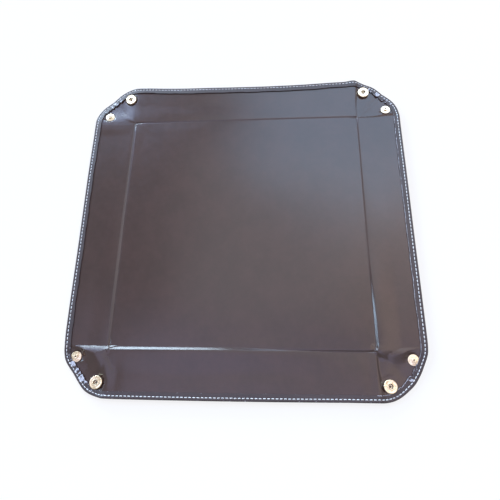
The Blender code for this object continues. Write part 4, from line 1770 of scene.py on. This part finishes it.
@dataclass
class Thread:
    """The sewing thread: one run of stitches round the hem, seen on both sides.

    Args:
        outer: The outer leather, which carries it.
        finish: Its material.
    """

    outer: OuterLeather
    finish: bpy.types.Material
    pitch: float = 3.5 * MM
    length: float = 2.45 * MM
    width: float = 0.78 * MM
    height: float = 0.5 * MM
    sunk: float = 0.12 * MM
    fullness: float = 0.4
    sides: int = 6
    weld: float = 1e-6

    def build(self) -> None:
        """Makes the stitches of every wall and corner."""
        pattern, layout = self.outer.pattern, self.outer.layout
        for wall in Wall:
            half = pattern.join if wall.has_sockets else pattern.wall_end
            body = f"wall_{wall.label}"
            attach(self._row(f"{body}_stitches", layout.wall(wall), -half, half), body)
        between = pattern.middle_run - pattern.strip
        last = 2 * pattern.middle_run - pattern.wall_end
        for corner in Corner:
            panel = layout.wedge(corner, False, self.pitch)
            item = self._row(
                f"socket_flap_stitches_{corner.label}", panel, pattern.join, between
            )
            wall, start, end = pattern.socket_bend(corner)
            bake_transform(item)
            panel = layout.wedge(corner, True, self.pitch)
            item = self._row(f"stud_flap_stitches_{corner.label}", panel, between, last)
            start, end = pattern.stud_bend(corner)
            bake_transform(item)

    def _stitch(self) -> bpy.types.Object:
        """One stitch at the origin, pulled in at both ends."""
        item = Bench.added(
            bpy.ops.mesh.primitive_uv_sphere_add,
            segments=self.sides, ring_count=self.sides, radius=0.5,
        )
        with Bench.editing(item):
            bpy.ops.transform.rotate(value=math.pi / 2, orient_axis="Y", center_override=(0, 0, 0))
        x, y, z = Bench.places(item).T
        along = np.sign(x) * abs(2 * x) ** (1 - self.fullness) / 2
        round_end = np.sqrt(np.maximum(0.25 - x**2, 0)) * 2
        fuller = np.where(round_end > 0, np.maximum(round_end, 1e-9) ** -self.fullness, 0)
        Bench.move(item, np.column_stack([
            along * self.length,
            y * fuller * self.width,
            z * fuller * self.height - 4 * along**2 * self.sunk,
        ]))
        return item

    def _row(self, name: str, panel: Panel, low: float, high: float) -> bpy.types.Object:
        """Stitches along the edge from low to high, on the hem and underneath it."""
        count = max(2, round((high - low) / self.pitch))
        pitch = (high - low) / count
        pattern = self.outer.pattern
        sides = []
        for on_top in (True, False):
            item = self._stitch()
            Bench.apply(
                item, "ARRAY", count=count, use_relative_offset=False,
                use_constant_offset=True, constant_offset_displace=(pitch, 0, 0),
            )
            x, y, height = Bench.places(item).T
            run = low + pitch / 2 + x
            inward = np.full_like(run, self.outer.seam)
            flat = panel.flat(pattern, run, inward + y, np.zeros_like(run))
            if on_top:
                height = self.outer.hem_top(panel, run, inward) + height + self.sunk
            else:
                height = height - self.sunk / 2
            Bench.move(item, pattern.at_rest(np.column_stack([flat, height])))
            sides.append(item)
        item = Bench.joined(name, sides)
        Bench.merged(item, self.weld, closed=True)
        Bench.smooth(item)
        item.data.materials.append(self.finish)
        log.info("%s: %d stitches on each side", name, count)
        return item


@dataclass
class Snaps:
    """The four press studs: socket, cap, stud and rivet at each corner.

    Sizes are in millimetres, and heights are above the table. Beads and edges are tables of
    steps outwards and upwards.

    Args:
        pattern: The tray's pattern.
        finish: Their material.
    """

    pattern: Pattern
    finish: bpy.types.Material
    steps: int = 72
    seat: float = 1.8
    clearance: float = 0.15
    socket_radius: float = 5.7
    socket_height: float = 2.4
    socket_floor: float = 0.3
    mouth: float = 2.2
    cavity: float = 3.1
    ceiling: float = 3.7
    rim_round: float = 0.7
    dish: float = 0.2
    cap_radius: float = 6.2
    cap_crown: float = 0.9
    cap_rim: float = 0.45
    post_radius: float = 1.45
    post_wall: float = 0.35
    roll_radius: float = 1.9
    roll_height: float = 0.35
    stud_radius: float = 4.7
    stud_flange: float = 0.6
    stud_neck: float = 1.65
    stud_head: float = 1.9
    stud_height: float = 1.55
    stud_band: float = 0.4
    stud_shell: float = 0.3
    stud_hole: float = 0.75
    stud_edge: float = 0.25
    rivet_radius: float = 4.5
    rivet_flange: float = 0.5
    rivet_post: float = 1.15
    rivet_bore: float = 0.6
    mouth_bead: Steps = (
        (0.12, 0.12), (0.3, 0.17), (0.5, 0.12), (0.65, 0.02), (0.8, 0.0)
    )
    dish_from_rim: float = 0.75
    dish_edge: Steps = ((-0.35, 0.0), (0.0, 0.03), (0.4, 0.13))
    foot_round: float = 0.5
    thin_edge: float = 0.02
    roll_inside: float = 0.7
    crown_steps: int = 18
    cap_edge: float = 0.15
    hole_edge: Span = (0.1, 0.08)
    head_round: float = 0.3
    head_slope: Span = (0.05, 0.25)
    neck_foot: Steps = ((0.0, 0.2), (0.06, 0.06), (0.2, 0.0))
    flange_edge: float = 0.1
    rivet_flat: float = 0.3
    bore_edge: Span = (0.25, 0.1)
    smooth_below: float = math.radians(38)

    def build(self) -> None:
        """Makes the metal pieces of every corner."""
        near, far = self.pattern.snap_near, self.pattern.snap_far
        for corner in Corner:
            x, y = corner.value
            socket, stud = (x * near, y * far), (x * far, y * near)
            body = f"socket_flap_{corner.label}"
            self._piece("socket_ring", self._socket(), corner, socket, body)
            self._piece("socket_cap", self._cap(), corner, socket, body)
            body = f"stud_flap_{corner.label}"
            self._piece("stud_post", self._stud(), corner, stud, body)
            self._piece("stud_rivet", self._rivet(), corner, stud, body)

    def _piece(
        self, kind: str, profile: Profile, corner: Corner, place: Span, body: str
    ) -> None:
        """Spins a closed profile, given in millimetres as (radius, height), at its place."""
        item = Bench.added(
            bpy.ops.mesh.primitive_circle_add, vertices=len(profile), radius=MM
        )
        Bench.move(item, np.array([(radius, 0, height) for radius, height in profile]) * MM)
        with Bench.editing(item):
            bpy.ops.mesh.spin(
                steps=self.steps, angle=2 * math.pi, center=(0, 0, 0), axis=(0, 0, 1)
            )
        Bench.merged(item, closed=True)
        Bench.move(item, self.pattern.fold(Bench.places(item) + np.array([*place, 0])))
        Bench.named(item, f"{kind}_turned_{corner.label}")
        Bench.only(item)
        bpy.ops.object.shade_smooth_by_angle(angle=self.smooth_below)
        item.data.materials.append(self.finish)
        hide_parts(f"{kind}_{corner.label}")
        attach(item, body)
        log.info("%s: %d faces", item.name, len(item.data.polygons))

    @staticmethod
    def _arc(
        centre: Span, radius: float, start: float, end: float, steps: int = 8
    ) -> Profile:
        """Points on an arc, its angles in degrees."""
        angles = np.radians(rising(start, end, steps))
        return [
            (centre[0] + radius * math.cos(angle), centre[1] + radius * math.sin(angle))
            for angle in angles
        ]

    def _socket(self) -> Profile:
        """The socket: a drawn ring with a rolled rim, a dished top and a hollow inside."""
        top = self.seat + self.socket_height
        rim = (self.socket_radius - self.rim_round, top - self.rim_round)
        hole = self.post_radius + self.clearance
        dished = top - self.dish
        inner = rim[0] - self.dish_from_rim
        floor = self.seat + self.socket_floor
        foot = (self.socket_radius - self.foot_round, self.seat + self.foot_round)
        return [
            *((self.mouth + out, dished + up) for out, up in self.mouth_bead),
            *((inner + out, dished + up) for out, up in self.dish_edge),
            *self._arc(rim, self.rim_round, 90, 0),
            *self._arc(foot, self.foot_round, 0, -90, 5),
            (hole, self.seat),
            (hole, floor),
            (self.cavity, floor),
            (self.cavity, self.ceiling),
            (self.mouth, self.ceiling),
            (self.mouth, dished + self.thin_edge),
        ]

    def _cap(self) -> Profile:
        """The cap under the socket: a low dome with a hollow post, rolled over on top."""
        roll = self.seat + self.socket_floor + self.clearance
        bore = self.post_radius - self.post_wall
        rim = -self.clearance - self.cap_rim
        dome = self.cap_crown - self.cap_rim
        angles = [math.pi / 2 * i / self.crown_steps for i in range(self.crown_steps)]
        middle = (self.post_radius + self.roll_radius) / 2
        return [
            (bore, roll + self.roll_height * self.roll_inside),
            ((bore + middle) / 2, roll + self.roll_height),
            (middle, roll + self.roll_height),
            (self.roll_radius, roll + self.roll_height / 2),
            (self.roll_radius, roll),
            (self.post_radius, roll),
            (self.post_radius, -self.clearance),
            (self.cap_radius - self.cap_edge, -self.clearance),
            (self.cap_radius, -self.clearance - self.cap_edge),
            *((self.cap_radius * math.cos(a), rim - dome * math.sin(a)) for a in angles),
            (0, -self.clearance - self.cap_crown),
            (0, -self.clearance),
            (bore, -self.clearance),
        ]

    def _stud(self) -> Profile:
        """The stud: a flange, and a hollow shell with a neck and a wider head."""
        flange = self.seat + self.stud_flange
        top = flange + self.stud_height
        edge = (self.stud_radius - self.stud_edge, flange - self.stud_edge)
        head = (self.stud_head - self.head_round, top - self.head_round)
        bore = self.stud_neck - self.stud_shell
        band = top - self.stud_band
        return [
            (self.stud_hole, top - self.hole_edge[1]),
            (self.stud_hole + self.hole_edge[0], top),
            *self._arc(head, self.head_round, 90, 0, 5),
            (self.stud_head, band),
            (self.stud_neck + self.head_slope[0], band - self.head_slope[1]),
            (self.stud_neck, band - self.stud_shell),
            *((self.stud_neck + out, flange + up) for out, up in self.neck_foot),
            *self._arc(edge, self.stud_edge, 90, 0, 6),
            (self.stud_radius, self.seat + self.flange_edge),
            (self.stud_radius - self.flange_edge, self.seat),
            (bore, self.seat),
            (bore, top - self.stud_shell),
            (self.stud_hole, top - self.stud_shell),
        ]

    def _rivet(self) -> Profile:
        """The hollow rivet that holds the stud, with its flange under the leather."""
        top = self.seat + self.stud_flange + self.stud_height - self.stud_shell - self.clearance
        foot = -self.clearance - self.rivet_flange
        half = self.rivet_flange / 2
        return [
            (self.rivet_bore, top),
            (self.rivet_post, top),
            (self.rivet_post, -self.clearance),
            *self._arc((self.rivet_radius - half, foot + half), half, 90, -90),
            (self.rivet_post + self.rivet_flat, foot),
            (self.rivet_bore + self.bore_edge[0], foot + self.bore_edge[1]),
            (self.rivet_bore, foot + half),
        ]


@dataclass
class Inner:
    """What the frame keeps of its own: the boards and the sockets' springs."""

    board: bpy.types.Material
    steel: bpy.types.Material

    def build(self) -> None:
        """Dresses the frame's nodes."""
        for name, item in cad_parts.items():
            if name.endswith("_board"):
                self._dress(item, self.board)
            elif name.startswith("socket_spring"):
                self._dress(item, self.steel)

    @staticmethod
    def _dress(item: bpy.types.Object, finish: bpy.types.Material) -> None:
        """Gives a node its material."""
        for place in item.material_slots:
            place.material = finish
        log.info("%s: dressed", item.name)


@dataclass(frozen=True)
class Lamp:
    """A soft square lamp that faces the tray.

    Args:
        name: Its name.
        azimuth: The way to it, in degrees from +X towards +Y.
        elevation: Its height, in degrees.
        distance: How far away it is.
        size: Its sides.
        power: Its power in watts.
        colour: Its colour.
    """

    name: str
    azimuth: float
    elevation: float
    distance: float
    size: Span
    power: float
    colour: Colour

    def hang(self) -> None:
        """Adds the lamp."""
        turn, tilt = math.radians(self.azimuth), math.radians(self.elevation)
        flat = math.cos(tilt)
        way = Vector((flat * math.cos(turn), flat * math.sin(turn), math.sin(tilt)))
        item = Bench.added(bpy.ops.object.light_add, type="AREA", location=way * self.distance)
        item.name = self.name
        item.rotation_euler = way.to_track_quat("Z", "Y").to_euler()
        item.data.shape = "RECTANGLE"
        item.data.size, item.data.size_y = self.size
        item.data.energy = self.power
        item.data.color = self.colour


@dataclass(frozen=True)
class Studio:
    """Floor, lamps, surroundings and camera."""

    eye: tuple[float, float, float] = (0.0291, -0.1340, 0.3450)
    forward: tuple[float, float, float] = (-0.0609, 0.2986, -0.9524)
    up: tuple[float, float, float] = (0.0068, 0.9543, 0.2987)
    lens: float = 27.33
    sensor: float = 36.0
    nearest: float = 0.01
    floor_size: float = 6.0
    floor_tone: float = 0.9
    floor_white: float = 0.8
    ambient: float = 0.15
    lamps: tuple[Lamp, ...] = (
        Lamp("window", 120, 18, 1.6, (1.12, 0.44), 40, (0.64, 0.83, 1.0)),
        Lamp("upper_window", 126, 36, 1.6, (0.85, 0.32), 6, (0.42, 0.60, 1.0)),
        Lamp("side_window", 167, 33, 1.6, (0.6, 0.36), 13, (0.50, 0.74, 1.0)),
        Lamp("sky_card", 68, 47, 1.6, (1.0, 0.85), 12.5, (0.40, 0.62, 0.90)),
        Lamp("ceiling_card", 85, 72, 1.6, (1.0, 0.9), 4.5, (0.90, 0.93, 1.0)),
        Lamp("warm_card", 15, 54, 1.6, (1.1, 0.9), 6.5, (1.0, 0.80, 0.72)),
        Lamp("room_card", -100, 74, 1.6, (1.5, 0.9), 8, (0.60, 0.62, 1.0)),
    )

    def build(self) -> None:
        """Sets up the studio."""
        self._floor()
        self._world()
        for lamp in self.lamps:
            lamp.hang()
        self._camera()
        bpy.context.scene.view_settings.view_transform = "Standard"

    def _seen(self, nodes: NodeBoard) -> Signal:
        """1 for what the camera sees straight, in metal or through glass."""
        rays = [
            nodes.add("ShaderNodeLightPath", output=name)
            for name in ("Is Camera Ray", "Is Glossy Ray", "Is Transmission Ray")
        ]
        return rays[0].greatest(rays[1]).greatest(rays[2])

    def _floor(self) -> None:
        """A plain pale floor, which keeps a light shadow."""
        item = Bench.added(
            bpy.ops.mesh.primitive_plane_add, size=self.floor_size, location=(0, 0, 0)
        )
        Bench.named(item, "floor")
        nodes = NodeBoard.material("floor_paper")
        tone = rgba((self.floor_tone,) * 3)
        paper = nodes.add("ShaderNodeBsdfDiffuse", {}, {"Color": tone, "Roughness": 1.0})
        white = nodes.add("ShaderNodeEmission", {}, {"Strength": 1.0})
        shares = {0: self._seen(nodes) * self.floor_white, 1: paper, 2: white}
        material = nodes.surface(nodes.add("ShaderNodeMixShader", {}, shares))
        item.data.materials.append(material)

    def _world(self) -> None:
        """White all round for the eye, and an even dim light for the tray."""
        world = bpy.data.worlds.new("studio")
        bpy.context.scene.world = world
        nodes = NodeBoard(world)
        strength = self.ambient + self._seen(nodes) * (1 - self.ambient)
        white = rgba((1.0, 1.0, 1.0))
        sky = nodes.add("ShaderNodeBackground", {}, {"Color": white, "Strength": strength})
        nodes.add("ShaderNodeOutputWorld", {}, {"Surface": sky})

    def _camera(self) -> None:
        """The camera where the photograph was taken."""
        back = -Vector(self.forward).normalized()
        right = Vector(self.up).cross(back).normalized()
        turn = Matrix((right, back.cross(right), back)).transposed().to_4x4()
        item = Bench.added(bpy.ops.object.camera_add)
        item.matrix_world = Matrix.Translation(self.eye) @ turn
        item.data.lens = self.lens
        item.data.sensor_width = self.sensor
        item.data.sensor_fit = "HORIZONTAL"
        item.data.clip_start = self.nearest
        bpy.context.scene.camera = item


def main() -> None:
    """Dresses the frame and sets up the studio."""
    logging.basicConfig(level=logging.INFO, format="%(name)s: %(message)s")
    layout = Layout(Pattern())
    finishes = Finishes.mixed_up()
    outer = OuterLeather(layout)
    LeatherWork(
        Lining(layout), "lining", "lining_leather", finishes.lining, finishes.cut,
        every=2, spacing=1.2 * MM,
    ).build()
    LeatherWork(
        outer, "outer", "outer_leather", finishes.outer, finishes.cut,
        every=1, spacing=0.6 * MM,
    ).build()
    Thread(outer, finishes.thread).build()
    Snaps(layout.pattern, finishes.brass).build()
    Inner(finishes.board, finishes.steel).build()
    Studio().build()


if __name__ == "__main__":
    main()
